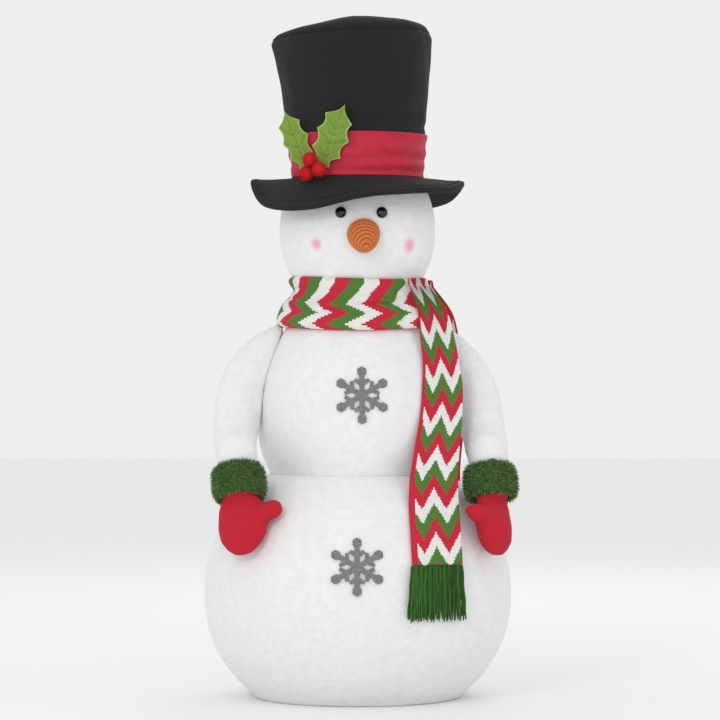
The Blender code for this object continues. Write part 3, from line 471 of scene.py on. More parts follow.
def moulded_material(name, colour, roughness, grain=0.00006):
    made = Shader(name, colour, roughness)
    made.vary(made.noise(0.03, 3.0), scaled(colour, 0.92), scaled(colour, 1.08))
    made.bump(made.noise(0.0007, 2.0), grain, 0.6)
    return made.material


def steel_material():
    made = Shader("steel", (0.62, 0.62, 0.64), 0.3, 1.0)
    made.vary(made.noise(0.004, 3.0), (0.55, 0.55, 0.57), (0.66, 0.66, 0.68))
    made.bump(made.noise(0.0008, 3.0, (1, 1, 12)), 0.00002, 0.5)
    return made.material


def eye_material():
    made = Shader("eye_plastic", (0.003, 0.003, 0.0035), 0.13)
    made.surface.inputs["Specular IOR Level"].default_value = 0.6
    made.bump(made.noise(0.006, 1.0), 0.00001, 0.3)
    return made.material


def make_materials():
    found = {
        "fleece": fleece_material("fleece"),
        "face_fleece": fleece_material("face_fleece", (
            ((-0.063, -0.102, 0.7060), 0.014), ((0.081, -0.089, 0.7040), 0.016))),
        "eye_plastic": eye_material(),
        "steel": steel_material(),
    }
    for kind, name, *values in (
        (woven_material, "nylon", (0.78, 0.78, 0.79), 0.0007, 0.6),
        (felt_material, "black_felt", (0.0090, 0.0083, 0.0090), 0.0012, 0.35, 0.0003, 0.03),
        (woven_material, "red_satin", (0.54, 0.006, 0.036), 0.0009, 0.6, 0.08),
        (felt_material, "green_felt", (0.19, 0.31, 0.045), 0.0016, 0.32, 0.0005, 0.1),
        (felt_material, "leaf_edge", (0.36, 0.55, 0.12), 0.0008, 0.15),
        (yarn_material, "leaf_vein", (0.055, 0.100, 0.014)),
        (yarn_material, "red_pompom", (0.72, 0.012, 0.020)),
        (yarn_material, "nose_felt", (0.66, 0.180, 0.045)),
        # painted shade: darker colour for the recessed grooves between the nose cord's turns
        (yarn_material, "nose_groove", (0.30, 0.065, 0.018)),
        (felt_material, "grey_felt", (0.20, 0.19, 0.19), 0.0014, 0.55, 0.0004),
        (yarn_material, "green_yarn", (0.016, 0.075, 0.007)),
        (yarn_material, "green_yarn_light", (0.040, 0.135, 0.018)),
        (yarn_material, "green_fur", (0.055, 0.130, 0.024)),
        (yarn_material, "green_fur_tip", (0.200, 0.340, 0.120)),
        (felt_material, "red_mitten", (0.50, 0.007, 0.025), 0.0007, 0.12, 0.00015, 0.05),
        (moulded_material, "black_plastic", (0.025, 0.025, 0.026), 0.42),
        (moulded_material, "grey_plastic", (0.33, 0.33, 0.34), 0.5),
        (moulded_material, "foam_rubber", (0.05, 0.05, 0.05), 0.9, 0.0003),
        (woven_material, "webbing", (0.045, 0.045, 0.047), 0.0012, 0.8),
        (woven_material, "zip_tape", (0.78, 0.78, 0.79), 0.0008, 0.8),
        (moulded_material, "lens", (0.85, 0.86, 0.90), 0.12),
        (woven_material, "sand_bag", (0.27, 0.29, 0.31), 0.0012, 0.85),
        (yarn_material, "thread", (0.70, 0.70, 0.70)),
    ):
        found[name] = kind(name, *values)
    for colour, value in SCARF_COLOURS.items():
        found["yarn_" + colour] = yarn_material("yarn_" + colour, value)
    found["scarf_knit"] = found["yarn_red"]
    return found


MATERIALS = make_materials()
KNIT = [MATERIALS["yarn_white"], MATERIALS["yarn_green"], MATERIALS["yarn_red"]]


def dress_frame():
    """Every CAD node gets its slot's finish; most soft ones are replaced later."""
    slots = {part["node"]: part["material_slot"] for part in frame["record"]["subparts"]}
    for name, node in NODES.items():
        node.data.materials.clear()
        node.data.materials.append(MATERIALS[slots[name]])


# ---- covers


def outer_hull(pairs):
    """The outer side of (place, reach) pairs: the places and reaches of their convex hull."""
    hull = []
    for place, reach in sorted(pairs):
        while len(hull) > 1:
            (place0, reach0), (place1, reach1) = hull[-2:]
            if (place1 - place0) * (reach - reach0) < (reach1 - reach0) * (place - place0):
                break
            hull.pop()
        hull.append((place, reach))
    return [place for place, _ in hull], [reach for _, reach in hull]


def cover_profile(node):
    """The outer outline of a turned cover, as (radius, height) from its foot up."""
    widest = {}
    for vert in NODES[node].data.vertices:
        if vert.co.x < 0 and abs(vert.co.y) < -0.1 * vert.co.x:
            key = round(vert.co.z, 4)
            widest[key] = max(widest.get(key, 0.0), hypot(vert.co.x, vert.co.y))
    low, high = min(widest), max(widest)
    heights, radii = outer_hull(widest.items())
    kept = [Vector((r, z)) for z, r in sorted(widest.items())
            if r > np.interp(z, heights, radii) - COVER_WALL / 2]
    return kept, low, high


def resample(outline, step):
    """Evenly spaced points along a smooth curve through the outline."""
    dense = [catmull(outline, i / 600) for i in range(601)]
    lengths = [0.0]
    for a, b in zip(dense, dense[1:]):
        lengths.append(lengths[-1] + (b - a).length)
    count = max(int(lengths[-1] / step), 8)
    radii = np.interp(np.linspace(0, lengths[-1], count), lengths, [p.x for p in dense])
    heights = np.interp(np.linspace(0, lengths[-1], count), lengths, [p.y for p in dense])
    return list(zip(radii, heights))


def cover_lump(point, strength):
    """How far the cloth stands in or out here: slow swells and short tufts."""
    slow = noise(point / 0.075) * 0.9 + noise(point / 0.030) * 0.45
    pile = noise(point / 0.0065) + 0.6 * noise(point / 0.0035)
    return slow * LUMP * strength + pile * PILE


def make_cover(name, node, material, strength=1.0, hole=False):
    """A fleece cover over its CAD shell, with its two-layer wall."""
    outline, low, high = cover_profile(node)
    rings = resample(outline, COVER_ROW_STEP)
    if low > 0.01:
        rings.insert(0, (rings[0][0] - 0.0015, low - 0.0012))
        rings.insert(0, (rings[0][0] - TURN_IN, low - 0.0022))
    rings.append((rings[-1][0] - 0.0015, high + 0.0010))
    rings.append((rings[-1][0] - TURN_IN, high + 0.0018))

    def place(ring, a):
        radius, z = ring
        out = Vector((cos(a), sin(a), 0))
        point = out * radius + Vector((0, 0, z))
        return point + out * (cover_lump(point, strength) * smooth_step(min(z - low, high - z) / 0.012))

    verts = turned(rings, COVER_COLUMNS, place)
    faces = grid_faces(len(rings), COVER_COLUMNS, closed=True)
    if hole:
        port = JOINTS["fan_spin"]["pos_m"]

        def outside(face):
            middle = sum((verts[i] for i in face), Vector()) / 4
            return middle.y < 0 or hypot(middle.x - port[0], middle.z - port[2]) > PORT_HOLE

        faces = [face for face in faces if outside(face)]
    cover = piece(name, verts, faces, "fleece", None, materials=[MATERIALS[material]])
    thicken(cover, COVER_WALL)
    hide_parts(node)
    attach(cover, "shell")
    return cover


def cover_radius(outline, z):
    """Radius of a cover at height z."""
    return float(np.interp(z, [p.y for p in outline], [p.x for p in outline]))


# ---- pile and tufts


def add_tufts(heap, surface, count, length, width, axis=None, middle=None):
    """Bent, tapered locks of pile over a surface, combed apart along an axis from its middle."""
    polygons = surface.data.polygons
    stride = max(len(polygons) / count, 1e-6)
    for i in range(count):
        polygon = polygons[int(i * stride) % len(polygons)]
        normal = polygon.normal
        spread = Vector((hash01(i, 1) - 0.5, hash01(i, 2) - 0.5, hash01(i, 3) - 0.5))
        root = polygon.center + spread * (polygon.area ** 0.5) - normal * (0.2 * width)
        reach = length * mix(0.65, 1.15, hash01(i, 4))
        comb = axis * ((root - middle).dot(axis) / 0.025 + 0.25) if axis else Vector()
        way = (normal + spread * 0.9 + comb * 0.5).normalized()
        tip_way = (way + comb * 0.9 + spread * 0.4).normalized()
        side = way.orthogonal().normalized()
        up = way.cross(side)
        middle = root + way * (reach * 0.5)
        verts = []
        for centre, size in ((root, width), (middle, width * 0.75)):
            verts += [around(centre, side, up, size, tau * k / 3 + i) for k in range(3)]
        verts.append(middle + tip_way * (reach * 0.5))
        faces = [(0, 1, 4, 3), (1, 2, 5, 4), (2, 0, 3, 5), (3, 4, 6), (4, 5, 6), (5, 3, 6), (2, 1, 0)]
        heap.add(verts, faces, int(hash01(i, 5) * 2) if axis else 0)


# ---- arms


def body_axis(body):
    """The place where a body's joint holds it."""
    joint = next(j for j in JOINTS.values() if j["child"] == body)
    return Vector(joint["pos_m"])


def press_to(obj, covers, reach, clear):
    """Presses the side of a piece that faces the body against the body's covers."""
    trees = []
    for cover in covers:
        mesh = bpy.data.objects[cover].data
        faces = [polygon.vertices for polygon in mesh.polygons]
        trees.append(BVHTree.FromPolygons([v.co for v in mesh.vertices], faces))
    moves = []
    for vert in obj.data.vertices:
        inward = Vector((-vert.co.x, -vert.co.y, 0)).normalized()
        facing = smooth_step((vert.normal.dot(inward) - 0.05) / 0.5)
        hits = [tree.ray_cast(vert.co, inward, reach)[3] for tree in trees]
        near = [d for d in hits if d is not None]
        if near and facing > 0:
            fade = smooth_step(1.35 * (1 - min(near) / reach))
            moves.append((vert, inward * ((min(near) - clear) * facing * fade)))
    for vert, move in moves:
        vert.co += move


def raise_shoulder(obj):
    """Carries the sleeve's root up under the scarf."""
    for vert in obj.data.vertices:
        inner = min(max((0.180 - abs(vert.co.x)) / 0.057, 0.0), 1.0)
        vert.co.z += SHOULDER_RISE * inner * smooth_step((vert.co.z - 0.515) / 0.045)


def make_arm(label, side):
    body = "arm_" + label
    sleeve = soft_copy("sleeve_fleece_" + label, "arm_sleeve_" + label, None, "fleece", 0.0032, 12, 0.0016)
    raise_shoulder(sleeve)
    press_to(sleeve, ("chest_fleece", "belly_fleece"), PRESS_REACH, 0.0001)
    roughen(sleeve)
    hinge = body_axis(body)
    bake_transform(sleeve)

    mitten = soft_copy("mitten_cloth_" + label, "mitten_" + label, body, "red_mitten",
                       0.0028, 12, 0.0012, 0.03)
    palm = (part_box("mitten_" + label)[0 if side < 0 else 1]).x - side * PALM_HALF
    for vert in mitten.data.vertices:
        thumb = smooth_step(((palm - vert.co.x) * side - 0.022) / 0.022)
        vert.co += Vector((-side * 0.007, 0, 0.008)) * thumb

    cuff = soft_copy("cuff_backing_" + label, "cuff_" + label, body, "green_fur", 0.0026, 3)
    for vert in cuff.data.vertices:
        vert.co -= vert.normal * 0.0030
    mitten_low, mitten_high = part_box("mitten_" + label)
    cuff_low, cuff_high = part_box("cuff_" + label)
    middle = (cuff_low + cuff_high) / 2
    axis = ((mitten_low + mitten_high) / 2 - middle).normalized()
    heap = Heap()
    add_tufts(heap, cuff, FUR_TUFTS, FUR_LENGTH, FUR_WIDTH, axis, middle)
    heap.make("cuff_fur_" + label, "green_fur", body,
              materials=[MATERIALS["green_fur"], MATERIALS["green_fur_tip"]])


def roughen(obj):
    """Short pile on a fleece piece."""
    for vert in obj.data.vertices:
        lift = noise(vert.co / 0.0065) + 0.6 * noise(vert.co / 0.0035)
        vert.co += vert.normal * (lift * PILE)


# ---- knitted scarf


def zigzag(share):
    """1 at the peaks, on the edges and the middle of the width, and 0 at the valleys."""
    return abs((share * 2) % 1.0 - 0.5) * 2


def stitch_relief(across, along):
    """Height of the knit at a place measured in stitches: rounded columns of Vs."""
    column = sin(pi * (across % 1.0))
    lean = along + 0.5 * abs((across % 1.0) - 0.5) * 2
    row = 0.5 + 0.5 * cos(tau * lean)
    return STITCH_DEPTH * (0.65 * column + 0.35 * row * column)


class HangingShape:
    """The outer face of a hanging CAD cloth, read off its rings."""

    def __init__(self, node):
        rings = {}
        for vert in NODES[node].data.vertices:
            rings.setdefault(round(vert.co.z, 4), []).append(vert.co.copy())
        self.levels = sorted(rings, reverse=True)
        self.rows = []
        for z in self.levels:
            depth = {}
            for co in rings[z]:
                key = round(co.x, 4)
                depth[key] = max(depth.get(key, 0.0), abs(co.y))
            places, reaches = outer_hull(depth.items())
            way = copysign(1, rings[z][0].y)
            across = np.linspace(places[0], places[-1], 5)
            self.rows.append([Vector((x, way * np.interp(x, places, reaches), z)) for x in across])
        self.top, self.foot = self.levels[0], self.levels[-1]

    def at(self, across, down):
        """The point at a share of the width from -X, and a share of the drop."""
        z = mix(self.top, self.foot, down)
        place = np.interp(-z, [-level for level in self.levels], range(len(self.levels)))
        share = place / (len(self.levels) - 1)
        columns = [catmull([row[k] for row in self.rows], share) for k in range(len(self.rows[0]))]
        return catmull(columns, across)


def make_tail(label, way):
    """One hanging end: real stitches, each in the colour that the chevrons give it."""
    shape = HangingShape("scarf_tail_" + label)
    length = shape.top - shape.foot
    wales, courses = int(SCARF_WIDTH / STITCH), int(length / ROW)
    hooked = int(TAIL_HOOK / ROW)
    columns, rows = wales * 3 + 1, (courses + hooked) * 2 + 1
    verts = []
    for r in range(-hooked * 2, courses * 2 + 1):
        down = max(r / (courses * 2), 0.0)
        hook = max(-r / 2 * ROW, 0.0)
        turned = min(hook / 0.0115, 1.6)
        over = Vector((-0.0006 - 0.10 * hook, -way * 0.0095 * (1 - cos(turned)), 0.0095 * sin(turned)))
        over.y -= way * max(hook - 0.0184, 0.0)
        frame_row = [shape.at(c / 12, down) for c in range(13)]
        ripple = 0.0016 * sin(down * 17) * (1 - down * 0.5)
        for c in range(columns):
            across = c / (columns - 1)
            point = catmull(frame_row, across)
            curl = 0.0022 * (abs(across - 0.5) * 2) ** 6
            relief = stitch_relief(across * wales, down * courses)
            out = relief - curl + ripple * sin(across * 5 + 1)
            raised = point + Vector((0, way * (out - 0.0015), 0))
            verts.append(raised + over if hook else raised)
    faces = grid_faces(rows, columns)
    if way > 0:
        faces = [face[::-1] for face in faces]
    indices = []
    for r in range(rows - 1):
        course = r // 2 - hooked
        for c in range(columns - 1):
            wale = c // 3
            share = (wale + 0.5) / wales
            if way > 0:
                share = 1 - share
            edge = mix(0.030, 0.105, smooth_step(course / courses * 1.1)) if way < 0 else 0.03
            phase = course * ROW + ZIGZAG_RISE * zigzag(share) + TAIL_PHASE
            phase += 0.010 * max(course / courses, 0.0) ** 2.5
            colour = int(phase / STRIPE + 3) % 3
            indices.append(2 if share < edge else colour)
    tail = piece("scarf_knit_" + label, verts, faces, "scarf_knit", None, materials=KNIT, indices=indices)
    thicken(tail, CLOTH)
    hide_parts("scarf_tail_" + label)
    top = shape.at(0.5, 0.0)
    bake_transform(tail)
    make_fringe(label, way)


def make_fringe(label, way):
    """Loose yarn ends below the scarf, in two layers."""
    shape = HangingShape("scarf_fringe_" + label)
    heap = Heap()
    for layer in range(2):
        for i in range(FRINGE_STRANDS):
            across = (i + 0.5 + 0.3 * (hash01(i, layer) - 0.5)) / FRINGE_STRANDS
            drop = mix(0.93, 1.03, hash01(i, layer, 3))
            sway = (hash01(i, layer, 5) - 0.5) * 0.0045
            path = []
            for k in range(9):
                down = k / 8 * drop
                lean = sway * (k / 8) ** 2 + 0.0006 * sin(k * 1.7 + i)
                point = shape.at(across, min(down, 1.0))
                lift = -0.0012 - layer * 0.0030 + 0.0008 * sin(k + i * 2.1)
                over = Vector((0, 0, -(max(down, 1.0) - 1.0) * (shape.top - shape.foot)))
                path.append(point + Vector((lean, way * lift, 0)) + over)
            radii = [YARN_RADIUS * w for w in (1.0, 1.05, 1.0, 0.95, 1.0, 1.05, 1.0, 1.0, 0.55)]
            verts, faces = tube(path, radii, 6)
            heap.add(verts, faces, int(hash01(i, layer, 7) * 2))
    fringe = heap.make("fringe_yarn_" + label, "green_yarn", "scarf_" + label,
                       materials=[MATERIALS["green_yarn"], MATERIALS["green_yarn_light"]])
    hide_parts("scarf_fringe_" + label)


def wrap_fold(x, y, z):
    """How far the wrap's cloth stands proud here: layers that lap over folds."""
    proud = 0.0
    for middle, spread, fold_z, slope, step in WRAP_FOLDS:
        turn = angle_from(atan2(y, x), middle)
        line = fold_z + slope * turn + 0.003 * sin(turn * 5)
        fade = smooth_step(1.6 - abs(turn) / spread * 1.6)
        above = z - line
        lap = 1 / (1 + exp(min(-above / 0.0008, 50)))
        proud += step * fade * (lap * exp(-max(above, 0) / 0.016) - 0.9 * bell(above + 0.004, 0.004))
    return proud


def make_wrap():
    """The wrap round the neck: knitted cloth, folded and pinched, with two rows of chevrons."""
    section = resample([Vector(point) for point in WRAP_SECTION], WRAP_STITCH / 2)
    low, high = WRAP_SECTION[1][1], WRAP_SECTION[-2][1]
    columns = int(tau * WRAP_SECTION[1][0] / WRAP_STITCH) * 2

    def place(row, a):
        radius, z = section[row]
        height = min(max((z - low) / (high - low), 0.0), 1.0)
        east, north = cos(a), sin(a)
        front = max(-north, 0.0)
        sag = mix(WRAP_SAG_LOW, WRAP_SAG_HIGH, height) * front ** 2 + 0.0035 * height * east * front
        swell = noise(Vector((east * 1.7, north * 1.7, z / 0.05))) * 0.0030
        swell += noise(Vector((east * 4.5, north * 4.5, z / 0.022))) * 0.0012
        beside = angle_from(a, WRAP_KNOT)
        swell -= 0.0050 * bell(beside, 0.07) + 0.0022 * bell(beside + 0.2, 0.05)
        pinch = 0.009 * bell(z - 0.6345, 0.010) * max(-east, 0.0) ** 6
        proud = wrap_fold(radius * east, radius * north, z - sag)
        reach = radius + (swell + proud) * sin(pi * min(height * 1.1 + 0.05, 1.0)) ** 0.5
        reach += stitch_relief(row / 2, a / tau * columns / 2) - pinch
        return Vector((reach * east, reach * north, z - sag))

    verts = turned(range(len(section)), columns, place)
    faces = [face[::-1] for face in grid_faces(len(section), columns, closed=True)]
    indices = []
    for r in range(len(section) - 1):
        share = (r // 2 * 2 + 1) / len(section)
        zig = np.interp(share, WRAP_ZIG_SHARES, range(len(WRAP_ZIG_SHARES)))
        tip = 1 - abs(zig % 2 - 1)
        for c in range(columns):
            along = (c // 2 * 2) / columns * tau * WRAP_SECTION[1][0] * 0.90
            colour = int((along + WRAP_RISE * tip) / STRIPE + 300.6) % 3
            indices.append(2 if share < WRAP_BORDER else (2, 1, 0)[colour])
    wrap = piece("scarf_wrap_knit", verts, faces, "scarf_knit", None, materials=KNIT, indices=indices)
    thicken(wrap, CLOTH)
    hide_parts("scarf_wrap")
    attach(wrap, "shell")


# ---- hat


def crown_point(t, a, proud=0.0):
    """A point on the soft crown, t being 0 at its foot and 1 at its top seam."""
    radius = mix(HAT_RADIUS, HAT_TOP_RADIUS, t) + proud
    low, high = CROWN
    source = Vector((cos(a) * 1.3, sin(a) * 1.3, t * 1.7))
    sag = noise(source * 1.3) * 0.0034 + noise(source * 3.1) * 0.0016
    above_band = bell(t - 0.345, 0.045) * (0.0016 + 0.0022 * max(cos(a), 0.0) ** 3)
    corner = 0.0065 * max((t - 0.945) / 0.055, 0.0) ** 2
    radius += (sag - above_band) * smooth_step((t - 0.30) * 12) - corner
    radius -= 0.0010 * bell(angle_from(a, CROWN_SEAM), 0.02)
    rise = (0.0046 + 0.0062 * cos(a)) * t ** 5
    return Vector((-HAT_LEAN * t * t + radius * cos(a), radius * sin(a), mix(low.z, high.z, t) + rise))


def make_hat():
    columns, rows = 224, 72
    verts = turned(range(rows), columns, lambda row, a: crown_point(row / (rows - 1), a))
    crown = piece("crown_cloth", verts, grid_faces(rows, columns, closed=True), "black_felt", None)
    thicken(crown, 0.002)
    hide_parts("hat_crown")
    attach(crown, "shell")

    make_hat_top(columns)
    make_band(columns)
    make_brim(columns)


def make_hat_top(columns):
    """The puffed top, with the seam where it meets the crown."""
    low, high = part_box("hat_top")
    rows = 36

    def place(row, a):
        up = pi / 2 * row / rows
        rim = crown_point(1.0, a, -0.0008)
        centre = Vector((-HAT_LEAN, 0, rim.z))
        reach = cos(up) ** 0.8
        lower = 0.38 * reach * max(-cos(a), 0.0) + 0.12 * reach * max(cos(a), 0.0)
        lift = (high.z - low.z - 0.0075) * sin(up) ** 0.8 * (1 - lower)
        point = centre + (rim - centre) * reach
        dent = noise(Vector((point.x * 14, point.y * 14, 1.3))) * 0.0022 * sin(up)
        hump = 0.0022 * exp(-((point.x + 0.008) / 0.045) ** 4) * sin(up) ** 2
        return Vector((point.x, point.y, mix(low.z, rim.z, reach) + lift + dent + hump))

    verts = turned(range(rows), columns, place)
    verts.append(sum(verts[-columns:], Vector()) / columns)
    faces = grid_faces(rows, columns, closed=True) + fan((rows - 1) * columns, columns, rows * columns)
    faces.append(tuple(reversed(range(columns))))
    top = piece("hat_top_cloth", verts, faces, "black_felt", "shell")
    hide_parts("hat_top")

    path = [crown_point(1.0, tau * i / 160, 0.0006) for i in range(160)]
    ring_tube("hat_top_seam", path, 0.0009, "black_felt", "shell")


def ring_tube(name, path, radius, slot, body, sides=8):
    """A closed round cord."""
    count = len(path)
    verts = []
    for i, point in enumerate(path):
        tangent = (path[(i + 1) % count] - path[i - 1]).normalized()
        side = tangent.cross(Vector((0, 0, 1))).normalized()
        up = side.cross(tangent)
        verts += [around(point, side, up, radius, tau * k / sides) for k in range(sides)]
    faces = grid_faces(count, sides, closed=True) + seam((count - 1) * sides, sides)
    return piece(name, verts, faces, slot, body)


def make_band(columns):
    """The satin band, with folds that run round it and pull towards the holly."""
    low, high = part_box("hat_band")
    rows = 48

    def place(row, a):
        share = row / (rows - 1)
        z = mix(low.z - 0.0022, high.z - 0.0005, share)
        wave = noise(Vector((cos(a) * 0.8, sin(a) * 0.8, share * 5.0))) * 0.0022
        fold = sin(share * 13 + 1.4 * sin(a * 2)) * 0.0009 * sin(pi * share)
        flare = 0.0018 * (1 - share) ** 4
        point = crown_point((z - CROWN[0].z) / (CROWN[1].z - CROWN[0].z), a, 0.0030)
        out = Vector((cos(a), sin(a), 0))
        return Vector((point.x, point.y, z)) + out * (wave + fold + flare)

    verts = turned(range(rows), columns, place)
    band = piece("band_cloth", verts, grid_faces(rows, columns, closed=True), "red_satin", None)
    thicken(band, 0.0018)
    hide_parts("hat_band")
    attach(band, "shell")


def brim_drop(a):
    """How far the brim's edge hangs below the crown's foot at an angle."""
    count = len(BRIM_EDGE)
    points = [Vector((BRIM_EDGE[(i - 2) % count], 0)) for i in range(count + 5)]
    return catmull(points, (a / tau * count % count + 2) / (count + 4)).x


def brim_point(reach, a, proud, lift):
    """A point at a share of the brim's reach: proud of it, and lifted off its middle."""
    radius = mix(BRIM_INNER, BRIM_RADIUS, reach) + proud
    z = CROWN[0].z - 0.0045 - (brim_drop(a) - 0.003) * reach ** 1.4
    return Vector((radius * cos(a), radius * sin(a), z + lift))


def make_brim(columns):
    """The brim: two layers of cloth over wadding, with a wired, rolled edge."""
    steps = 22
    section = [(i / steps, 1.0) for i in range(steps + 1)]
    section += [(1.0, cos(pi * k / 10)) for k in range(1, 10)]
    section += [(i / steps, -1.0) for i in range(steps, -1, -1)]

    def place(row, a):
        reach, side = row
        wave = noise(Vector((cos(a) * 2, sin(a) * 2, reach * 2))) * 0.0016 * reach
        half = mix(0.0028, 0.0050, smooth_step(reach * 2 - 1))
        roll = half * sqrt(max(1 - side * side, 0.0)) if reach == 1.0 else 0.0
        return brim_point(reach, a, roll, side * half + wave)

    verts = turned(section, columns, place)
    count = len(section)
    faces = grid_faces(count, columns, closed=True) + seam((count - 1) * columns, columns)
    faces = [face[::-1] for face in faces]
    brim = piece("brim_cloth", verts, faces, "black_felt", "shell")
    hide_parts("hat_brim", "brim_hem")
    path = [brim_point(BRIM_SEAM, tau * i / 200, 0.0, 0.0049) for i in range(200)]
    ring_tube("brim_seam", path, 0.0006, "black_felt", "shell", 6)


# ---- holly and berries


def leaf_width(t):
    """Half-width share of a holly leaf at a share of its length: spines and hollows."""
    spines = ((0.0, 0.30), (0.03, 0.52), (0.22, 0.90), (0.50, 1.0), (0.77, 0.84), (1.0, 0.0))
    for (t0, w0), (t1, w1) in zip(spines, spines[1:]):
        if t <= t1:
            f = (t - t0) / (t1 - t0)
            dip = 0.30 if t0 >= 0.03 else 0.0
            return mix(w0, w1, f) - dip * sin(pi * f) * mix(0.9, 0.6, t)
    return 0.0


def make_leaf(name, node, base, up, length, half_width):
    """A felt leaf with a raised pale edge, and stitched midrib and veins."""
    up = up.normalized()
    out = Vector((base.x, base.y, 0)) + Vector((0.03, -0.035, 0.012))
    out = (out - up * out.dot(up)).normalized()
    side = up.cross(out)

    def place(x, t, lift=0.0):
        cup = 0.0026 * (abs(x) / half_width) ** 2 * sin(t * 9 + 1) - 0.0018 * cos(pi * t)
        ridge = 0.0010 * exp(-(x / 0.0022) ** 2)
        lines = 0.00035 * sin((t * length - abs(x) * 0.6) / 0.0021)
        return base + side * x + up * (t * length) + out * (0.0010 + cup - ridge + lines + lift)

    rows, half = 84, 12
    verts, indices = [], []
    for r in range(rows + 1):
        t = r / rows
        width = max(leaf_width(t), 0.004) * half_width
        for c in range(-half, half + 1):
            verts.append(place(width * c / half, t))
    for r in range(rows):
        for c in range(-half, half):
            indices.append(1 if c in (-half, half - 1) else 0)
    faces = [face[::-1] for face in grid_faces(rows + 1, 2 * half + 1)]
    leaf = piece(name, verts, faces, "green_felt", None,
                 materials=[MATERIALS["green_felt"], MATERIALS["leaf_edge"]], indices=indices)
    thicken(leaf, 0.0016)
    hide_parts(node)
    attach(leaf, "shell")

    heap = Heap()
    lines = [[(0.0, 0.05 + 0.85 * k / 20) for k in range(21)]]
    for start, reach in ((0.16, 0.55), (0.36, 0.75), (0.58, 0.52)):
        for sign in (-1, 1):
            lines.append([(sign * reach * half_width * k / 8, start + 0.13 * k / 8) for k in range(9)])
    for line in lines:
        for k in range(0, len(line) - 1):
            a, b = line[k], line[k + 1]
            run = [place(mix(a[0], b[0], f), mix(a[1], b[1], f), 0.0012) for f in (0.08, 0.5, 0.88)]
            heap.add(*tube(run, [0.0005, 0.0008, 0.0005], 5))
    heap.make(name + "_stitches", "green_felt", "shell", materials=[MATERIALS["leaf_vein"]])


def make_holly():
    band_low = CROWN[0].z
    make_leaf("leaf_felt_left", "holly_leaf_left", Vector((-0.0785, -0.0800, band_low + 0.0095)),
              Vector((-0.0350, 0.0050, 0.0920)), 0.096, LEAF_HALF_WIDTH * 0.80)
    make_leaf("leaf_felt_right", "holly_leaf_right", Vector((-0.0565, -0.0970, band_low + 0.0135)),
              Vector((0.0405, -0.0290, 0.0980)), 0.103, LEAF_HALF_WIDTH)
    for i in (1, 2, 3):
        name = "berry_%d" % i
        berry = soft_copy("berry_yarn_%d" % i, name, "shell", "red_pompom", 0.0012, 4)
        heap = Heap()
        add_tufts(heap, berry, BERRY_TUFTS, 0.0022, 0.00045)
        heap.make("berry_pile_%d" % i, "red_pompom", "shell")


# ---- face and patches


def make_nose():
    """The carrot: a tapered core wound round with thick cord, with painted shade in the grooves between its turns.
    """
    way = Vector((0.06, -cos(NOSE_TILT), -sin(NOSE_TILT))).normalized()
    tip = max((v.co for v in NODES["carrot_nose"].data.vertices), key=lambda co: co.dot(way))
    base = tip - way * NOSE_LENGTH
    side = way.cross(Vector((0, 0, 1))).normalized()
    up = side.cross(way)
    columns, rows = 120, 190
    verts, indices = [], []
    for r in range(rows):
        t = r / rows
        core = NOSE_RADIUS * (1 - t ** 1.7) ** 0.8
        for c in range(columns):
            a = tau * c / columns
            turn = t * NOSE_LENGTH / NOSE_CORD + c / columns + 0.14 * sin(a * 2 + 1) * sin(t * 7)
            cord = abs(sin(pi * turn)) ** 0.6
            ply = 0.10 * sin(a * 30 + turn * 11)
            reach = core + (cord * (1 + ply) - 0.85) * 0.0030 * min(core / 0.009, 1.0)
            verts.append(around(base + way * (t * NOSE_LENGTH), side, up, reach, a))
            if r < rows - 1:
                # painted shade: faces low in the grooves between the cord's turns take the darker groove material
                indices.append(1 if cord < 0.62 else 0)
    faces = grid_faces(rows, columns, closed=True)
    verts.append(base + way * NOSE_LENGTH)
    faces += fan((rows - 1) * columns, columns, rows * columns)
    faces.append(tuple(reversed(range(columns))))
    indices += [0] * (columns + 1)
    nose = piece("nose_cord", verts, faces, "nose_felt", "shell",
                 materials=[MATERIALS["nose_felt"], MATERIALS["nose_groove"]], indices=indices)
    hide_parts("carrot_nose")


def make_eye(label):
    """A domed safety eye, on the CAD eye's own axis."""
    node = NODES["eye_" + label]
    centre = sum((v.co for v in node.data.vertices), Vector()) / len(node.data.vertices)
    out = Vector((centre.x, centre.y, (centre.z - HEAD_Z) * 0.79)).normalized()
    rim = [v.co for v in node.data.vertices
           if (v.co - centre - out * (v.co - centre).dot(out)).length > 0.0080]
    base_height = min((co - centre).dot(out) for co in rim)
    axis = sum(rim, Vector()) / len(rim)
    axis -= out * ((axis - centre).dot(out) - base_height)
    side = out.orthogonal().normalized()
    up = out.cross(side)
    profile = [(0.0, 0.0), (EYE_RADIUS * 0.97, 0.0), (EYE_RADIUS, 0.0006), (EYE_RADIUS, 0.0012)]
    profile += [(EYE_RADIUS * cos(b), 0.0012 + 0.0068 * sin(b))
                for b in [pi / 2 * k / 14 for k in range(1, 14)]]
    columns = 56
    verts = turned(profile[1:], columns, lambda row, a: around(axis + out * row[1], side, up, row[0], a))
    rows = len(profile) - 1
    faces = grid_faces(rows, columns, closed=True)
    verts.append(axis + out * 0.0080)
    faces += fan((rows - 1) * columns, columns, rows * columns)
    faces.append(tuple(reversed(range(columns))))
    low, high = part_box("eye_" + label)
    shift = (low + high) / 2 - sum(verts, Vector()) / len(verts)
    verts = [v + Vector((shift.x, 0, shift.z)) for v in verts]
    eye = piece("eye_dome_" + label, verts, faces, "eye_plastic", "shell")
    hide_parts("eye_" + label)


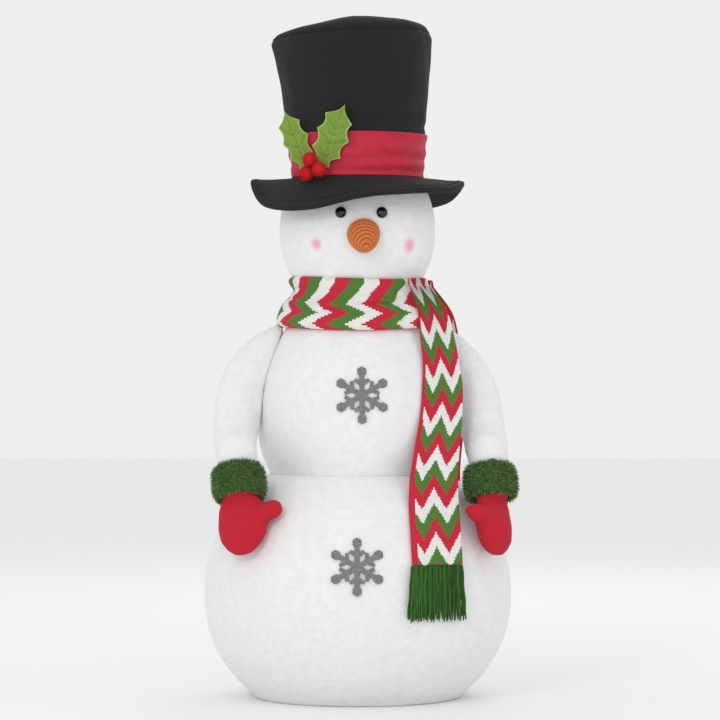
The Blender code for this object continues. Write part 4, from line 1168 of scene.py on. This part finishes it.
def make_patch(label, node, cover):
    """A felt snowflake, rounded at its edges and laid close on the cover."""
    flake = soft_copy("flake_felt_" + label, node, None, "grey_felt", 0.0008, 2)
    outline = cover_profile(cover)[0]
    low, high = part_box(node)
    z0, x0 = (low.z + high.z) / 2, (low.x + high.x) / 2
    radius = cover_radius(outline, z0)
    fall = (cover_radius(outline, z0 - 0.02) - cover_radius(outline, z0 + 0.02)) / 0.04
    centre = Vector((x0, -sqrt(radius ** 2 - x0 ** 2), z0))
    out = Vector((centre.x, centre.y, radius * fall)).normalized()
    side = Vector((0, 0, 1)).cross(out).normalized()
    up = out.cross(side)
    for vert in flake.data.vertices:
        offset = vert.co - centre
        px, py = offset.dot(side), offset.dot(up)
        reach = max(px * cos(k * pi / 3 + pi / 2) + py * sin(k * pi / 3 + pi / 2)
                    for k in range(6))
        level = offset.dot(out) - FLAKE_STAND + FLAKE_FOLD * reach
        flat = centre + side * px + up * py
        depth = cover_radius(outline, flat.z) ** 2 - flat.x ** 2
        on_cover = Vector((flat.x, -sqrt(depth), flat.z))
        vert.co = on_cover + out * (level + PATCH_LIFT)
    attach(flake, "shell")


# ---- back and sides


def woven_copy(node, fineness=3):
    """Thin cloth over its CAD solid: soft edges, and slow ripples that move both faces alike."""
    obj = copy_node(node + "_cloth", node)
    weld = obj.modifiers.new("weld", "WELD")
    weld.merge_threshold = 0.00001
    edge = obj.modifiers.new("edge", "BEVEL")
    edge.width = RIPPLE
    edge.limit_method = "ANGLE"
    finer = obj.modifiers.new("finer", "SUBSURF")
    finer.subdivision_type = "SIMPLE"
    finer.levels = fineness
    finer.render_levels = fineness
    apply_modifiers(obj)
    for vert in obj.data.vertices:
        vert.co += Vector([noise(vert.co / 0.030 + Vector((shift, 0, 0))) for shift in RIPPLE_SHIFTS]) * RIPPLE
    smooth_shade(obj.data)
    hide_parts(node)
    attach(obj, "shell")


def make_insides():
    """The sewn parts that the covers hide: panels, baffles, the strap and the sand bags."""
    for node, hole in (("base_panel", 0.0), ("waist_baffle", BAFFLE_VENT), ("hat_baffle", 0.0)):
        woven_copy(node)
    woven_copy("centre_strap", 5)
    woven_copy("zip_tape")
    for label in ("left", "right"):
        woven_copy("tether_tab_" + label, fineness=2)
        bag = soft_copy("bag_cloth_" + label, "ballast_bag_" + label, "shell", "sand_bag", 0.003, 6, 0.0015)
    panel = soft_copy("port_panel_cloth", "port_panel", "shell", "nylon", 0.0016, 3, 0.0003)


def bevel_nodes(names, width=0.0006):
    """Breaks the sharp edges of CAD nodes that stay shown."""
    for name in names:
        modifier = NODES[name].modifiers.new("edge", "BEVEL")
        modifier.width = width
        modifier.segments = 2
        modifier.limit_method = "ANGLE"
        modifier.harden_normals = False


def make_screws():
    """Four pan-head screws that hold the blower's flange."""
    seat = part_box("blower_housing")[1].y
    centre = Vector(JOINTS["fan_spin"]["pos_m"])
    heap = Heap()
    profile = [(0.0035, 0.0), (0.0034, 0.0008), (0.0026, 0.0017), (0.0012, 0.0021), (0.0009, 0.0010)]
    side, up = Vector((1, 0, 0)), Vector((0, 0, 1))
    for k in range(4):
        spot = around(Vector((centre.x, seat, centre.z)), side, up, SCREW_CIRCLE, pi / 4 + pi / 2 * k)
        verts = turned(profile, 20, lambda row, a:
                       around(spot + Vector((0, row[1], 0)), side, up, row[0], a))
        faces = [face[::-1] for face in grid_faces(len(profile), 20, closed=True)]
        faces.append(tuple(range(20)))
        faces.append(tuple(reversed(range(80, 100))))
        heap.add(verts, faces)
    heap.make("flange_screws", "steel", "shell")


def stitch_ring():
    """Short thread stitches round the blower's panel."""
    centre = Vector(JOINTS["fan_spin"]["pos_m"])
    centre.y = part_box("port_panel")[1].y
    side, up = Vector((1, 0, 0)), Vector((0, 0, 1))
    heap = Heap()
    for i in range(PANEL_STITCHES):
        run = [around(centre + Vector((0, rise, 0)), side, up, PANEL_SEAM, tau * (i + f) / PANEL_STITCHES)
               for f, rise in ((0.1, 0.0002), (0.5, 0.0006), (0.8, 0.0002))]
        heap.add(*tube(run, [0.0003, 0.00045, 0.0003], 5))
    heap.make("panel_stitches", "nylon", "shell", materials=[MATERIALS["thread"]])


def make_zip_teeth():
    """Moulded teeth along the zip's ridge, from both tapes in turn."""
    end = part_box("zip_tape")[1].x
    slider = JOINTS["zip_slide"]["pos_m"]
    radius = max(hypot(v.co.x, v.co.y) for v in NODES["zip_tape"].data.vertices)
    half_angle = asin(min(end / radius, 1.0))
    heap = Heap()
    count = int(2 * half_angle * radius / TOOTH_PITCH)
    for i in range(count):
        a = pi / 2 - half_angle + 2 * half_angle * (i + 0.5) / count
        out = Vector((cos(a), sin(a), 0))
        along = Vector((-sin(a), cos(a), 0))
        shift = 0.0006 if i % 2 else -0.0006
        middle = out * (radius + 0.0001) + Vector((0, 0, slider[2] + shift))
        verts = []
        for dz in (-0.0022, 0.0022):
            for da in (-0.0007, 0.0007):
                for dr, shrink in ((-0.0004, 1.0), (0.0007, 0.75)):
                    verts.append(middle + along * (da * shrink) + out * dr + Vector((0, 0, dz * shrink)))
        heap.add(verts, [(0, 1, 3, 2), (4, 6, 7, 5), (0, 4, 5, 1),
                         (2, 3, 7, 6), (0, 2, 6, 4), (1, 5, 7, 3)])
    heap.make("zip_teeth", "grey_plastic", "shell", smooth=False)


def make_back():
    bevel_nodes(("blower_housing", "intake_grille", "power_inlet", "impeller", "motor_spider", "clamp_nut",
                 "zip_slider", "lamp_holder_low", "lamp_holder_high"), 0.0005)
    bevel_nodes(("zip_pull",), 0.0003)
    make_screws()
    stitch_ring()
    make_zip_teeth()
    for name in ("tether_ring_left", "tether_ring_right", "motor_shaft", "fan_motor", "port_gasket"):
        smooth_shade(NODES[name].data)


# ---- camera, light, floor


def make_stage():
    camera_data = bpy.data.cameras.new("camera")
    camera_data.sensor_width = SENSOR
    camera_data.lens = SENSOR * CAMERA_DISTANCE / VIEW_HEIGHT
    camera = bpy.data.objects.new("camera", camera_data)
    camera.location = (CAMERA_X, -CAMERA_DISTANCE, CAMERA_Z)
    camera.rotation_euler = (pi / 2, 0, 0)
    bpy.context.scene.collection.objects.link(camera)
    bpy.context.scene.camera = camera

    bpy.context.scene.view_settings.view_transform = "Standard"
    world = bpy.data.worlds.new("studio")
    world.use_nodes = True
    world.node_tree.nodes["Background"].inputs["Color"].default_value = (1, 1, 1, 1)
    world.node_tree.nodes["Background"].inputs["Strength"].default_value = WORLD_STRENGTH
    bpy.context.scene.world = world

    for name, place, power, size in (
        ("key", (-1.1, -3.0, 1.7), 15.0, 0.7),
        ("front", (0.4, -3.4, 0.45), 8.5, 1.4),
        ("back", (0.6, 2.4, 2.2), 9.0, 1.6),
    ):
        data = bpy.data.lights.new(name, "AREA")
        data.energy = power
        data.size = size
        lamp = bpy.data.objects.new(name, data)
        lamp.location = place
        lamp.rotation_euler = (Vector((0, 0, 0.5)) - Vector(place)).to_track_quat("-Z", "Y").to_euler()
        bpy.context.scene.collection.objects.link(lamp)

    mesh = bpy.data.meshes.new("floor")
    reach = 12.0
    mesh.from_pydata([(-reach, -reach, 0), (reach, -reach, 0), (reach, reach, 0), (-reach, reach, 0)],
                     [], [(0, 1, 2, 3)])
    ground = bpy.data.objects.new("floor", mesh)
    bpy.context.scene.collection.objects.link(ground)
    mesh.materials.append(Shader("floor", (0.93, 0.93, 0.93), 0.9).material)


make_stage()
dress_frame()
make_cover("belly_fleece", "belly_cover", "fleece", 1.6, hole=True)
make_cover("chest_fleece", "chest_cover", "fleece", 1.3)
make_cover("head_fleece", "head_cover", "face_fleece", 1.0)
make_wrap()
make_tail("front", -1)
make_tail("back", 1)
make_arm("left", -1)
make_arm("right", 1)
make_hat()
make_holly()
make_nose()
for eye_label in ("left", "right"):
    make_eye(eye_label)
make_patch("chest", "snowflake_chest", "chest_cover")
make_patch("belly", "snowflake_belly", "belly_cover")
make_back()
make_insides()
